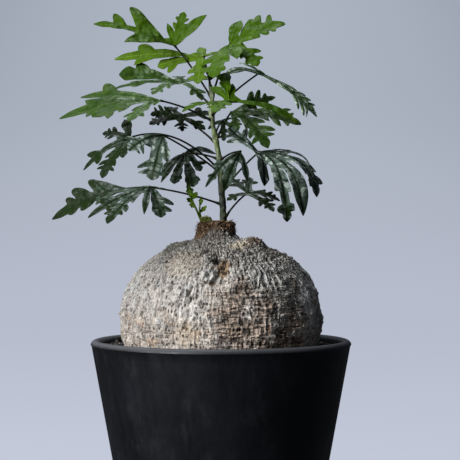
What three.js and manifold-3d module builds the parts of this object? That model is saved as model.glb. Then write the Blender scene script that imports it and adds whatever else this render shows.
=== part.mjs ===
// Potted adenia: a swollen caudex with one leafy stem, standing in grit in a tapered black pot.
// Millimetres, +Z up. The origin is the centre of the pot's flat underside, and +Y is the back.
import * as THREE from 'three';
import { mergeVertices } from 'three/addons/utils/BufferGeometryUtils.js';
import Module from 'manifold-3d';

const wasm = await Module();
wasm.setup();

// Driving dimensions
const pot = {
  rimRadius: 90, footRadius: 59.8, height: 165, wallAtRim: 7, wallAtFloor: 5, floor: 5,
  lipDrop: 3.5, recess: 2.5, bossRadius: 14, footWidth: 9, holes: 6, holeRadius: 5, holeCircle: 34,
  segments: 40,
};
const soil = { level: 159, grit: 1.1, rings: 5 };
const clearance = 0.3;
const caudex = { segments: 72, neckX: -3.5, neckFrom: 224, neckTo: 234, lineZ: 161 };
const stem = { baseRadius: 2.3, tipRadius: 1.3, sides: 8, steps: 14 };
const blade = {
  thick: 0.8, web: 0.32, webPull: 0.94, spread: 0.92, fold: 0.18, droop: 0.5, room: 0.5, arch: 0.5,
};
const petiole = { baseRadius: 1.15, topRadius: 0.8, sides: 6, steps: 4, sunk: 1, bow: 1.5 };

const colours = {
  pot: [0x17181b, 0.5], soil: [0x3a3836, 0.95], bark: [0x8f867b, 0.9], stem: [0x8a9a62, 0.6],
  young: [0x7fae2e, 0.5], bright: [0x3f7d16, 0.45], mixed: [0x2f5f2a, 0.4], dark: [0x1f3f33, 0.35],
};

function material(key) {
  const [color, roughness] = colours[key];
  return new THREE.MeshStandardMaterial({ color, roughness, metalness: 0 });
}

// Closed three.js geometry to a manifold solid, and back
function solidOf(geometry) {
  const plain = new THREE.BufferGeometry();
  plain.setAttribute('position', geometry.getAttribute('position'));
  plain.setIndex(geometry.getIndex());
  const merged = mergeVertices(plain, 1e-4);
  const vertProperties = new Float32Array(merged.getAttribute('position').array);
  const triVerts = new Uint32Array(merged.getIndex().array);
  return new wasm.Manifold(new wasm.Mesh({ numProp: 3, vertProperties, triVerts }));
}

function geometryOf(solid) {
  const mesh = solid.getMesh();
  const geometry = new THREE.BufferGeometry();
  geometry.setAttribute('position', new THREE.BufferAttribute(new Float32Array(mesh.vertProperties), 3));
  geometry.setIndex(new THREE.BufferAttribute(new Uint32Array(mesh.triVerts), 1));
  return geometry;
}

// Revolved closed profile of [radius, height] points, turned from three's Y axis to Z
function revolved(points, segments) {
  const profile = points.map(([r, z]) => new THREE.Vector2(r, z));
  const geometry = new THREE.LatheGeometry(profile, segments);
  geometry.rotateX(Math.PI / 2);
  return geometry;
}

// Repeatable number from 0 to 1 for a whole-number key
function hash(key) {
  const s = Math.sin(key * 127.1 + 11.7) * 43758.5453;
  return s - Math.floor(s);
}

// Round bar along a curve, with a radius that runs from r0 to r1 and closed ends
function taperedBar(curve, r0, r1, sides, steps) {
  const geometry = new THREE.CylinderGeometry(1, 1, 1, sides, steps);
  const frames = curve.computeFrenetFrames(steps, false);
  const place = geometry.getAttribute('position');
  for (let i = 0; i < place.count; i += 1) {
    const t = THREE.MathUtils.clamp(0.5 + place.getY(i), 0, 1);
    const row = Math.round(t * steps);
    const radius = THREE.MathUtils.lerp(r0, r1, t);
    const centre = curve.getPointAt(t);
    const a = place.getZ(i) * radius;
    const b = place.getX(i) * radius;
    const at = centre.addScaledVector(frames.normals[row], a).addScaledVector(frames.binormals[row], b);
    place.setXYZ(i, at.x, at.y, at.z);
  }
  return geometry;
}

// The pot's outer and inner wall radius at a height
function outerWall(z) {
  return THREE.MathUtils.lerp(pot.footRadius, pot.rimRadius, z / pot.height);
}

function innerWall(z) {
  return outerWall(z) - THREE.MathUtils.lerp(pot.wallAtFloor, pot.wallAtRim, z / pot.height);
}

function makePot() {
  const lipCentre = pot.rimRadius - pot.wallAtRim / 2;
  const lipFoot = pot.height - pot.lipDrop;
  const footInner = pot.footRadius - pot.footWidth;
  const profile = [
    [0, 0], [pot.bossRadius - 1, 0], [pot.bossRadius, pot.recess], [footInner - 1, pot.recess],
    [footInner, 0], [pot.footRadius - 1.5, 0], [outerWall(1.5), 1.5], [outerWall(lipFoot), lipFoot],
  ];
  for (const turn of [40, 80, 120, 150, 180]) {
    const angle = THREE.MathUtils.degToRad(turn);
    const half = pot.wallAtRim / 2;
    profile.push([lipCentre + half * Math.cos(angle), lipFoot + pot.lipDrop * Math.sin(angle)]);
  }
  profile.push([innerWall(lipFoot - 6), lipFoot - 6], [innerWall(pot.floor + 3), pot.floor + 3]);
  profile.push([innerWall(pot.floor) - 3, pot.floor], [0, pot.floor]);
  let body = solidOf(revolved(profile, pot.segments));
  for (let i = 0; i < pot.holes; i += 1) {
    const angle = (i + 0.5) * 2 * Math.PI / pot.holes;
    const drill = new THREE.CylinderGeometry(pot.holeRadius, pot.holeRadius, 4 * pot.floor, 10);
    drill.rotateX(Math.PI / 2);
    drill.translate(pot.holeCircle * Math.cos(angle), pot.holeCircle * Math.sin(angle), 0);
    body = body.subtract(solidOf(drill));
  }
  return geometryOf(body);
}

// Caudex outline below and above the grit line: [radius, height]
const rootOutline = [
  [0, 104], [26, 106], [46, 118], [57.5, 136], [64, 151], [65.9, 159],
];
const bodyOutline = [
  [66.6, 163], [67.6, 168], [68.5, 175], [68.7, 182], [67.6, 190], [65.4, 197.5], [62.2, 204.5],
  [57.8, 211], [52.4, 216.8], [46, 221.8], [39, 225.8], [31.5, 229], [24.5, 231.4], [18.8, 233.4],
  [15.2, 236], [13.4, 239], [12.4, 242], [12.2, 245], [10.3, 246.6], [6, 247.2], [0, 247.4],
];

// Finer copy of an outline, with rows no further apart than the step
function resampled(points, step) {
  const curve = new THREE.CatmullRomCurve3(points.map(([r, z]) => new THREE.Vector3(r, 0, z)));
  const rows = Math.max(2, Math.round(curve.getLength() / step));
  return curve.getSpacedPoints(rows).map((p) => [Math.max(0, p.x), p.z]);
}

function caudexCentreX(z) {
  const t = THREE.MathUtils.smoothstep(z, caudex.neckFrom, caudex.neckTo);
  return caudex.neckX * t;
}

// Swellings and hollows of the caudex: centre, reach along each axis, and height (below 0 sinks in)
const lumps = [
  { at: [22, -12, 233], reach: [8, 8, 5.5], height: 6.5 },
  { at: [-27, -6, 229.5], reach: [9, 13, 5.5], height: 4 },
  { at: [9, -6, 245], reach: [4, 5, 3], height: 2.2 },
  { at: [-1.5, -50, 218.5], reach: [4.2, 8, 6.5], height: -4 },
  { at: [12, -48, 221], reach: [6, 8, 5], height: 1.8 },
  { at: [-8.5, -55, 211], reach: [6, 7, 6.5], height: 2.4 },
];

function lumpHeight(p) {
  let sum = 0;
  for (const { at, reach, height } of lumps) {
    const q = (p.x - at[0]) ** 2 / reach[0] ** 2 + (p.y - at[1]) ** 2 / reach[1] ** 2
      + (p.z - at[2]) ** 2 / reach[2] ** 2;
    sum += height * Math.exp(-q);
  }
  return sum;
}

// Bark: a net of pits between ridges, long upright ridges low down and furrows on the neck
function barkHeight(angle, p) {
  const rise = THREE.MathUtils.smoothstep(p.z, caudex.lineZ, caudex.lineZ + 6);
  const onNeck = THREE.MathUtils.smoothstep(p.z, 228, 236);
  const wander = 0.9 * Math.sin(p.z / 9 + 2 * Math.sin(3 * angle));
  const net = Math.cos(40 * angle + wander) + Math.cos(p.z / 1.45 + 1.6 * Math.sin(5 * angle));
  const ridges = Math.sin(17 * angle + 1.8 * Math.sin(p.z / 15)) * Math.sin(p.z / 21 + 2 * angle);
  const swell = Math.sin(3 * angle + 0.7) * 0.5 + Math.sin(7 * angle - p.z / 26) * 0.6;
  const furrows = Math.cos(13 * angle + 0.8 * Math.sin(p.z / 2.5));
  const body = 0.34 * net + 0.55 * ridges + 0.6 * swell;
  return rise * THREE.MathUtils.lerp(body, 0.75 * furrows, onNeck);
}

function makeCaudex() {
  const outline = [...rootOutline, ...resampled(bodyOutline, 5.6)];
  const geometry = revolved(outline, caudex.segments);
  const place = geometry.getAttribute('position');
  const p = new THREE.Vector3();
  for (let i = 0; i < place.count; i += 1) {
    p.fromBufferAttribute(place, i);
    const radius = Math.hypot(p.x, p.y);
    const shift = caudexCentreX(p.z);
    if (radius > 0.01 && p.z > caudex.lineZ) {
      const angle = Math.atan2(p.y, p.x);
      const flat = THREE.MathUtils.smoothstep(p.z, 244.5, 247);
      const lift = barkHeight(angle, p) * (1 - flat) + lumpHeight(new THREE.Vector3(p.x + shift, p.y, p.z));
      const top = THREE.MathUtils.smoothstep(p.z, 205, 232) * (p.z < 234 ? 1 : 0.2);
      const out = new THREE.Vector3(p.x / radius, p.y / radius, top * 1.1).normalize();
      p.addScaledVector(out, lift);
    }
    place.setXYZ(i, p.x + shift, p.y, p.z);
  }
  const socketRadius = stem.baseRadius + clearance;
  const socket = new THREE.CylinderGeometry(socketRadius, socketRadius, 40, 12);
  socket.rotateX(Math.PI / 2);
  const foot = stemPoints[0];
  socket.translate(foot[0], foot[1], foot[2] - clearance + 20);
  return geometryOf(solidOf(geometry).subtract(solidOf(socket)));
}

function makeSoil() {
  const floorZ = pot.floor + clearance;
  const wall = (z) => innerWall(z) - clearance;
  const chord = 1 / Math.cos(Math.PI / pot.segments);
  const cavity = rootOutline.filter(([r]) => r > 0).map(([r, z]) => [(r + clearance) * chord, z - clearance]);
  const [edgeR] = cavity[cavity.length - 1];
  const profile = [[0, floorZ], [wall(pot.floor) - 3.4, floorZ], [wall(pot.floor + 3.4), pot.floor + 3.4]];
  profile.push([wall(soil.level), soil.level]);
  for (let i = soil.rings - 1; i >= 0; i -= 1) {
    profile.push([THREE.MathUtils.lerp(edgeR, wall(soil.level), i / soil.rings), soil.level]);
  }
  for (const point of cavity.slice(0, -1).reverse()) profile.push(point);
  profile.push([0, rootOutline[0][1] - clearance]);
  const geometry = revolved(profile, pot.segments);
  const place = geometry.getAttribute('position');
  for (let i = 0; i < place.count; i += 1) {
    const x = place.getX(i);
    const y = place.getY(i);
    const radius = Math.hypot(x, y);
    const open = radius > edgeR + 0.5 && radius < wall(soil.level) - 0.5;
    if (open && Math.abs(place.getZ(i) - soil.level) < 0.01) {
      const grain = hash(Math.round(x * 3) + 71 * Math.round(y * 3));
      place.setZ(i, soil.level + soil.grit * (2 * grain - 1));
    }
  }
  return geometry;
}

// Stem centre line, from its foot in the neck to its growing tip
const stemPoints = [
  [1.7, 0, 241], [1.2, 0, 258], [-0.2, 0, 274], [-0.9, 0, 288], [-2.6, 0, 298], [-5.2, 0, 311],
  [-6.7, 0, 323], [-6.2, 0, 334], [-7.5, 1, 341],
];
const stemCurve = new THREE.CatmullRomCurve3(stemPoints.map((p) => new THREE.Vector3(...p)));

function stemAt(z) {
  let low = 0;
  let high = 1;
  for (let i = 0; i < 24; i += 1) {
    const mid = (low + high) / 2;
    if (stemCurve.getPointAt(mid).z < z) low = mid;
    else high = mid;
  }
  const radius = THREE.MathUtils.lerp(stem.baseRadius, stem.tipRadius, low);
  return { centre: stemCurve.getPointAt(low), along: stemCurve.getTangentAt(low), radius };
}

function makeStem() {
  return taperedBar(stemCurve, stem.baseRadius, stem.tipRadius, stem.sides, stem.steps);
}

// Cut edges of a lobe: fingers by place along the rib, half-width and reach, as shares of its length
const lobeForms = {
  feather: {
    fingers: [[0.13, 0.085, 0.26], [0.38, 0.09, 0.27], [0.62, 0.08, 0.19]],
    waist: 0.085, end: 0.085, lean: 0.8,
  },
  oak: { fingers: [[0.22, 0.14, 0.33], [0.62, 0.12, 0.26]], waist: 0.13, end: 0.12, lean: 0.6 },
  mid: { fingers: [[0.27, 0.12, 0.28], [0.6, 0.1, 0.2]], waist: 0.1, end: 0.1, lean: 0.75 },
  short: { fingers: [[0.4, 0.17, 0.28]], waist: 0.11, end: 0.13, lean: 0.6 },
  wing: { fingers: [[0.16, 0.13, 0.6], [0.56, 0.1, 0.18]], waist: 0.045, end: 0.05, lean: 0.7 },
  fan: {
    fingers: [[0.1, 0.11, 0.44], [0.33, 0.1, 0.42], [0.56, 0.09, 0.32]],
    waist: 0.12, end: 0.06, lean: 0.45,
  },
  comb: {
    fingers: [[0.15, 0.1, 0.2], [0.4, 0.1, 0.17], [0.64, 0.075, 0.11]],
    waist: 0.055, end: 0.045, lean: 0.9,
  },
  fringe: {
    fingers: [[0.3, 0.07, 0.3], [0.46, 0.065, 0.32], [0.62, 0.06, 0.26]],
    waist: 0.1, end: 0.045, lean: 0.9,
  },
  trident: { fingers: [[0.24, 0.19, 0.14], [0.74, 0.08, 0.12]], waist: 0.05, end: 0.055, lean: 0.5 },
  fork: { fingers: [[0.4, 0.14, 0.17]], waist: 0.055, end: 0.045, lean: 0.8 },
  taper: { fingers: [[0.12, 0.16, 0.13], [0.6, 0.08, 0.08]], waist: 0.05, end: 0.035, lean: 1.0 },
  lance: { fingers: [], waist: 0.08, end: 0.12, lean: 0.6 },
  slim: { fingers: [], waist: 0.04, end: 0.065, lean: 0.7 },
  ovate: { fingers: [], waist: 0.13, end: 0.2, lean: 0.45 },
};

// Rows of a lobe from its web to its tip: [place along the rib, half-width]
function lobeRows({ fingers, waist, end }) {
  const rows = [];
  if (fingers.length === 0) {
    rows.push([0.2, waist + 0.6 * (end - waist)], [0.42, end], [0.66, end * 0.88], [0.86, end * 0.5]);
    return rows;
  }
  fingers.forEach(([at, half, reach]) => {
    const last = rows.length ? rows[rows.length - 1][0] : 0;
    if (at - half > last + 0.02) rows.push([at - half, waist]);
    rows.push([at - 0.55 * half, reach * 0.94], [at + 0.45 * half, reach * 0.94], [at + half, waist]);
  });
  rows.push([0.85, end]);
  return rows;
}

// Leaf table: joint of petiole and blade, height of its node on the stem, colour, and lobes in
// turn round the joint. A lobe is its tip, the rise of its rib, its form, the reach of its
// fingers on the side of the lobe listed before it and on the side of the one listed after it,
// and the turn of its blade about the rib in degrees, where it has one. A leaf that departs from
// the usual web, room or arch of a blade, or bow of a petiole, gives its own.
const leaves = [
  { name: 'leaf_a', joint: [-32, 10, 369], node: 333, web: 0.28, room: 0.6, colour: 'bright', lobes: [
    [-10, 10, 391, 2, 'lance', 1.2, 0.9], [-26, 17, 394, 2, 'mid', 0.9, 0.8],
    [-38, 17, 386, 1, 'lance', 0.5, 0.5], [-89, 6, 384, 4, 'wing', 1, 0.1],
    [-66, -14, 369, 4, 'lance', 1.2, 1.1],
  ] },
  { name: 'leaf_b', joint: [-12, 6, 361], node: 337, colour: 'young', lobes: [
    [1, 16, 365, 1, 'lance', 1, 1], [-15, 20, 369, 1, 'ovate', 1, 1],
    [-76, 28, 362, 3, 'fork', 0.5, 1.1], [-45, 20, 356, 2, 'short', 0.8, 0.8],
    [-16, -9, 341, 2, 'oak', 1, 1],
  ] },
  { name: 'leaf_c', joint: [6, 8, 370], node: 335, room: 0.65, colour: 'bright', lobes: [
    [-5, -18, 344, 4, 'oak', 1.2, 0.5], [11, -14, 358, 2, 'ovate', 0.6, 0.6],
    [25, -8, 353, 3, 'oak', 0.6, 1], [45, 12, 385, 3, 'fan', 0.3, 1], [14, 20, 388, 2, 'ovate', 1, 1],
  ] },
  { name: 'leaf_d', joint: [27, 14, 351], node: 322, colour: 'mixed', lobes: [
    [2, 2, 348, 3, 'lance', 0.8, 0.8], [67, 12, 320, 4, 'fringe', 1, 0.4],
    [13, 26, 358, 2, 'lance', 0.9, 0.9],
  ] },
  { name: 'leaf_e', joint: [6, -20, 327], node: 320, colour: 'bright', lobes: [
    [-26, -30, 320, 3, 'mid', 1, 1], [-4, -46, 318, 4, 'mid', 1, 1],
    [54, -22, 312, 5, 'lance', 0.8, 0.8], [8, -6, 341, 1, 'lance', 1, 0.8],
    [2, -4, 349, 2, 'oak', 0.7, 1], [-7, -4, 339, 2, 'lance', 1, 1],
  ] },
  { name: 'leaf_f', joint: [7, -2, 322], node: 304, colour: 'mixed', lobes: [
    [12, -14, 309, 1, 'mid', 1.1, 0.8], [32, -24, 296, 5, 'feather', 1.1, 1.1],
    [55, -8, 313, 3, 'feather', 1, 1], [38, 16, 334, 1, 'comb', 0.4, 1.2, 50],
  ] },
  { name: 'leaf_g', joint: [-27, 16, 344], node: 327, colour: 'mixed', lobes: [
    [-9, 30, 348, 2, 'ovate', 1, 1], [-32, 32, 349, 2, 'short', 1, 1],
    [-72, 18, 350, 2, 'short', 0.55, 0.6, -30], [-76, 12, 339, 3, 'fork', 0.6, 0.7],
    [-48, 4, 335, 3, 'oak', 1.1, 1.1], [-13, 4, 331, 3, 'short', 1.2, 1.2],
  ] },
  { name: 'leaf_h', joint: [-41, -14, 329], node: 317, web: 0.32, colour: 'mixed', lobes: [
    [-98, 8, 333, 3, 'fork', 1, 0.6, -20], [-111, -8, 317, 4, 'fork', 0.6, 0.7, -30],
    [-87, -26, 317, 4, 'oak', 1, 1, -20], [-61, -36, 313, 3, 'oak', 1.1, 1.2],
    [-45, -26, 325, 1, 'ovate', 1, 1.2],
  ] },
  { name: 'leaf_i', joint: [-29, 16, 320], node: 302, colour: 'dark', lobes: [
    [-7, 26, 323, 1, 'short', 1, 1], [-38, 28, 328, 1, 'short', 1, 1],
    [-50, 20, 322, 2, 'feather', 1.2, 1, -45], [-50, 6, 314, 1, 'mid', 0.8, 0.8],
    [-27, 6, 309, 1, 'mid', 1.2, 1.2], [-11, 12, 311, 1, 'short', 1, 1],
  ] },
  { name: 'leaf_j', joint: [1, 20, 318], node: 307, colour: 'dark', lobes: [
    [-9, 24, 312, 1, 'short', 1, 1], [2, 12, 303, 1, 'mid', 1, 1], [12, 10, 308, 1, 'lance', 1, 1],
    [10, 28, 319, 1, 'lance', 1, 1],
  ] },
  { name: 'leaf_k', joint: [-63, 4, 305], node: 283, bow: 11, web: 0.36, colour: 'dark', lobes: [
    [-68, 16, 318, 1, 'ovate', 1.5, 1.5], [-83, 12, 308, 1, 'mid', 1.2, 1.1],
    [-95, -2, 282, 4, 'fork', 1.2, 1.2], [-81, -16, 276, 3, 'feather', 1, 1],
    [-67, -14, 290, 2, 'short', 1, 1],
  ] },
  { name: 'leaf_l', joint: [-39, -18, 305], node: 281, web: 0.52, room: 0.6, colour: 'dark', lobes: [
    [-62, -28, 294, 3, 'oak', 1.3, 1.2, 15], [-46, -34, 274, 3, 'oak', 1, 1],
    [-36, -34, 286, 2, 'lance', 1.3, 1.3],
  ] },
  { name: 'leaf_m', joint: [-26, 9, 294], node: 290, web: 0.4, room: 0.4, colour: 'dark', lobes: [
    [-41, -4, 279, 2, 'lance', 1, 1], [-41, -12, 273, 2, 'slim', 1, 1],
    [-32, -16, 272, 2, 'mid', 0.9, 1], [-19, -14, 270, 2, 'oak', 0.8, 1],
    [-14, -4, 281, 2, 'short', 1, 1], [-4, 20, 294, 3, 'ovate', 1.4, 1.4],
  ] },
  { name: 'leaf_n', joint: [13, -20, 294], node: 289, web: 0.38, colour: 'dark', lobes: [
    [-10, -44, 269, 3, 'taper', 1.2, 1], [2, -46, 266, 3, 'lance', 1.3, 1.3],
    [18, -32, 273, 2, 'lance', 1, 1],
  ] },
  { name: 'leaf_o', joint: [26, -12, 294], node: 268, web: 0.42, arch: 0.9, colour: 'dark', lobes: [
    [5, -2, 311, 3, 'oak', 1.1, 1.1, -35], [29, -36, 270, 3, 'ovate', 1.2, 1.2, -30],
    [44, -44, 246, 9, 'trident', 1, 1], [55, -38, 250, 9, 'lance', 0.9, 0.9],
    [65, -22, 263, 8, 'mid', 1, 1], [62, -4, 282, 5, 'lance', 1.2, 1.2], [49, 8, 295, 2, 'slim', 1, 1],
  ] },
  { name: 'leaf_p', joint: [18, -4, 266], node: 250, colour: 'dark', lobes: [
    [4, -10, 261, 1, 'short', 1, 1], [36, -16, 253, 2, 'mid', 1, 1],
    [41, 2, 261, 2, 'feather', 0.9, 0.9], [20, 14, 277, 1, 'short', 1, 1], [7, 10, 276, 1, 'oak', 1, 1],
  ] },
  { name: 'leaf_q', joint: [-49, -10, 270], node: 259, web: 0.3, colour: 'dark', lobes: [
    [-38, 0, 268, 1, 'ovate', 1.2, 1.2], [-117, 0, 248, 6, 'comb', 1, 0.5, -40],
    [-90, -22, 249, 3, 'fork', 0.8, 0.8, -30], [-76, -36, 245, 4, 'feather', 1, 1],
    [-51, -40, 251, 3, 'slim', 1, 1], [-40, -34, 249, 3, 'oak', 0.8, 1],
  ] },
];

// Rib from the joint to a lobe's tip. It runs out to the given share of its way before it drops.
function ribCurve(joint, [x, y, z, rise], arch) {
  const tip = new THREE.Vector3(x, y, z);
  const middle = joint.clone().lerp(tip, arch);
  middle.z = (joint.z + z) / 2 + 2 * rise;
  return new THREE.QuadraticBezierCurve3(joint, middle, tip);
}

// Normals of the lobes at the joint: each mixes its neighbours' planes with the whole leaf's
function lobeNormals(ribs) {
  const heads = ribs.map((rib) => rib.getTangent(0.08));
  const planes = heads.slice(1).map((head, i) => heads[i].clone().cross(head));
  const whole = planes.reduce((sum, plane) => sum.add(plane), new THREE.Vector3()).normalize();
  return heads.map((head, i) => {
    const normal = whole.clone().multiplyScalar(0.6);
    if (i > 0) normal.add(planes[i - 1].clone().normalize().multiplyScalar(0.5));
    if (i < planes.length) normal.add(planes[i].clone().normalize().multiplyScalar(0.5));
    return normal.addScaledVector(head, -normal.dot(head)).normalize();
  });
}

// Blade of a leaf: middle surface of all lobes, given its thickness on both faces
function makeBlade(leaf) {
  const joint = new THREE.Vector3(...leaf.joint);
  const ribs = leaf.lobes.map((lobe) => ribCurve(joint, lobe, leaf.arch ?? blade.arch));
  const normals = lobeNormals(ribs);
  const points = [joint.clone()];
  const faces = [];
  const add = (point) => points.push(point) - 1;
  const web = leaf.web ?? blade.web;
  const webRibs = ribs.map((rib) => add(rib.getPointAt(web)));
  const webs = ribs.slice(1).map((rib, i) => {
    const middle = points[webRibs[i]].clone().add(points[webRibs[i + 1]]).multiplyScalar(0.5);
    return add(joint.clone().lerp(middle, blade.webPull));
  });
  leaf.lobes.forEach(([, , , , formKey, reachBefore, reachAfter, turn = 0], k) => {
    const rib = ribs[k];
    const length = rib.getLength();
    const form = lobeForms[formKey];
    const normal = normals[k].clone();
    const edgePoint = (t, width, side) => {
      const along = rib.getTangentAt(t);
      normal.addScaledVector(along, -normal.dot(along)).normalize();
      const roll = THREE.MathUtils.degToRad(turn) * THREE.MathUtils.smoothstep(t, 0.1, 0.5);
      const face = normal.clone().applyAxisAngle(along, roll);
      const across = face.clone().cross(along).multiplyScalar(side);
      const reach = roomFor(k, side, t, width * length);
      const lean = form.lean * reach;
      return rib.getPointAt(t)
        .addScaledVector(along, lean * Math.min(0.7, (1 - t) * 2))
        .addScaledVector(across, reach * blade.spread)
        .addScaledVector(face, blade.fold * reach - blade.droop * reach * reach / length);
    };
    const start = web;
    const outerBefore = k > 0 ? webs[k - 1] : add(edgePoint(start * 0.7, form.waist, -1));
    const outerAfter = k < ribs.length - 1 ? webs[k] : add(edgePoint(start * 0.7, form.waist, 1));
    faces.push([0, outerBefore, webRibs[k]], [0, webRibs[k], outerAfter]);
    let [before, middle, after] = [outerBefore, webRibs[k], outerAfter];
    for (const [at, width] of lobeRows(form)) {
      const t = start + (1 - start) * at;
      const core = form.waist;
      const widthBefore = Math.max(core * 0.6, core + (width - core) * reachBefore);
      const widthAfter = Math.max(core * 0.6, core + (width - core) * reachAfter);
      const sides = [edgePoint(t, widthBefore, -1), edgePoint(t, widthAfter, 1)];
      const next = [add(sides[0]), add(rib.getPointAt(t)), add(sides[1])];
      faces.push([before, next[0], next[1]], [before, next[1], middle]);
      faces.push([middle, next[1], next[2]], [middle, next[2], after]);
      [before, middle, after] = next;
    }
    const tip = add(rib.getPointAt(1));
    faces.push([before, tip, middle], [middle, tip, after]);
  });

  // Width of an edge point, held back where the next lobe's fingers would meet it
  function roomFor(k, side, t, width) {
    const other = ribs[k + side];
    if (!other) return width;
    const reachAlong = Math.min(1, t + 0.64 * width / ribs[k].getLength());
    const here = ribs[k].getPointAt(reachAlong);
    const distance = reachAlong * ribs[k].getLength();
    const there = other.getPointAt(Math.min(1, distance / other.getLength()));
    return Math.min(width, (leaf.room ?? blade.room) * here.distanceTo(there));
  }
  return thickened(points, faces, blade.thick);
}

// Closed solid from a middle surface: the same triangles on both faces and a wall round its edge
function thickened(points, faces, thick) {
  const normals = points.map(() => new THREE.Vector3());
  const edges = new Map();
  for (const [a, b, c] of faces) {
    const ab = points[b].clone().sub(points[a]);
    const ac = points[c].clone().sub(points[a]);
    const normal = ab.cross(ac);
    for (const i of [a, b, c]) normals[i].add(normal);
    for (const [p, q] of [[a, b], [b, c], [c, a]]) edges.set(`${p},${q}`, [p, q]);
  }
  const count = points.length;
  const place = new Float32Array(count * 6);
  points.forEach((point, i) => {
    const half = normals[i].normalize().multiplyScalar(thick / 2);
    point.clone().add(half).toArray(place, 3 * i);
    point.clone().sub(half).toArray(place, 3 * (i + count));
  });
  const index = [];
  for (const [a, b, c] of faces) index.push(a, b, c, a + count, c + count, b + count);
  for (const [p, q] of edges.values()) {
    if (!edges.has(`${q},${p}`)) index.push(q, p, p + count, q, p + count, q + count);
  }
  const geometry = new THREE.BufferGeometry();
  geometry.setAttribute('position', new THREE.BufferAttribute(place, 3));
  geometry.setIndex(index);
  return geometry;
}

// Petiole from just off the stem to just inside the blade
function makePetiole(leaf) {
  const joint = new THREE.Vector3(...leaf.joint);
  const { centre, along, radius } = stemAt(leaf.node);
  const toJoint = joint.clone().sub(centre).normalize();
  const out = toJoint.clone().addScaledVector(along, -toJoint.dot(along)).normalize();
  const slant = Math.sqrt(1 - toJoint.dot(out) ** 2);
  const start = centre.clone().addScaledVector(out, radius + clearance + petiole.baseRadius * slant);
  const middle = start.clone().add(joint).multiplyScalar(0.5);
  middle.z += 2 * (leaf.bow ?? petiole.bow);
  const end = joint.clone().addScaledVector(joint.clone().sub(middle).normalize(), petiole.sunk);
  const curve = new THREE.QuadraticBezierCurve3(start, middle, end);
  return taperedBar(curve, petiole.baseRadius, petiole.topRadius, petiole.sides, petiole.steps);
}

function makeLeaf(leaf) {
  return geometryOf(solidOf(makeBlade(leaf)).add(solidOf(makePetiole(leaf))));
}

// Small young leaf: four facets folded along a rib that runs from its base to its tip
function leaflet(base, tip, width) {
  const from = new THREE.Vector3(...base);
  const to = new THREE.Vector3(...tip);
  const along = to.clone().sub(from).normalize();
  const across = along.clone().cross(new THREE.Vector3(0.3, 1, 0.2)).normalize();
  const middle = from.clone().lerp(to, 0.55);
  const lift = across.clone().cross(along).multiplyScalar(0.2 * width);
  const left = middle.clone().addScaledVector(across, -width / 2).add(lift);
  const right = middle.clone().addScaledVector(across, width / 2).add(lift);
  const faces = [[0, 2, 1], [1, 2, 4], [0, 3, 2], [2, 3, 4]];
  return thickened([from, left, middle, right, to], faces, blade.thick);
}

// Sprigs of small leaves: curved stalks, then leaflets as [base, tip, width]
const sprigs = {
  side_shoot: {
    stalks: [
      [[-13.4, -5, 247.6], [-17, -8, 255], [-20.8, -10, 264]],
      [[-13.4, -5, 247.6], [-14.6, -7, 253], [-14.4, -8.5, 259.6]],
    ],
    leaflets: [
      [[-20.3, -9.8, 262.5], [-23.4, -11, 272.5], 5], [[-20.6, -9.9, 262], [-16, -12, 266.5], 4.4],
      [[-18.8, -9, 259], [-23.5, -12, 262.5], 4], [[-17.6, -8.3, 256.4], [-22, -8, 258.5], 3.4],
      [[-14.5, -8.2, 257.5], [-13.6, -9, 264], 3], [[-14.6, -7, 252.8], [-9.8, -9, 257.4], 3],
    ],
    radii: [1, 0.6],
  },
  shoot_tip: {
    stalks: [[[-7.6, 1, 341.6], [-8, 1.4, 344], [-8.2, 1.6, 347]]],
    leaflets: [
      [[-8.2, 1.6, 346], [-10.4, 2.4, 354], 3], [[-8, 1.4, 344.4], [-4.4, 0.4, 350], 2.8],
      [[-7.9, 1.4, 343.6], [-9, -2.6, 349.4], 2.8],
    ],
    radii: [1.1, 0.6],
  },
};

function makeSprig({ stalks, leaflets, radii }) {
  const bars = stalks.map((points) => {
    const curve = new THREE.CatmullRomCurve3(points.map((p) => new THREE.Vector3(...p)));
    return taperedBar(curve, radii[0], radii[1], 5, 3);
  });
  const blades = leaflets.map(([base, tip, width]) => leaflet(base, tip, width));
  const [first, ...others] = [...bars, ...blades].map(solidOf);
  return geometryOf(others.reduce((whole, piece) => whole.add(piece), first));
}

function named(name, geometry, colour) {
  const mesh = new THREE.Mesh(geometry, material(colour));
  mesh.name = name;
  return mesh;
}

const group = new THREE.Group();
group.add(named('pot', makePot(), 'pot'));
group.add(named('soil', makeSoil(), 'soil'));
group.add(named('caudex', makeCaudex(), 'bark'));
group.add(named('stem', makeStem(), 'stem'));
for (const leaf of leaves) group.add(named(leaf.name, makeLeaf(leaf), leaf.colour));
for (const [name, sprig] of Object.entries(sprigs)) group.add(named(name, makeSprig(sprig), 'young'));

export default group;
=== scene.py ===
# Looks of the potted adenia: grey caudex, leafy stem, dark grit and a matte black pot
import math
import random

import bpy
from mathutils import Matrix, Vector, noise


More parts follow.
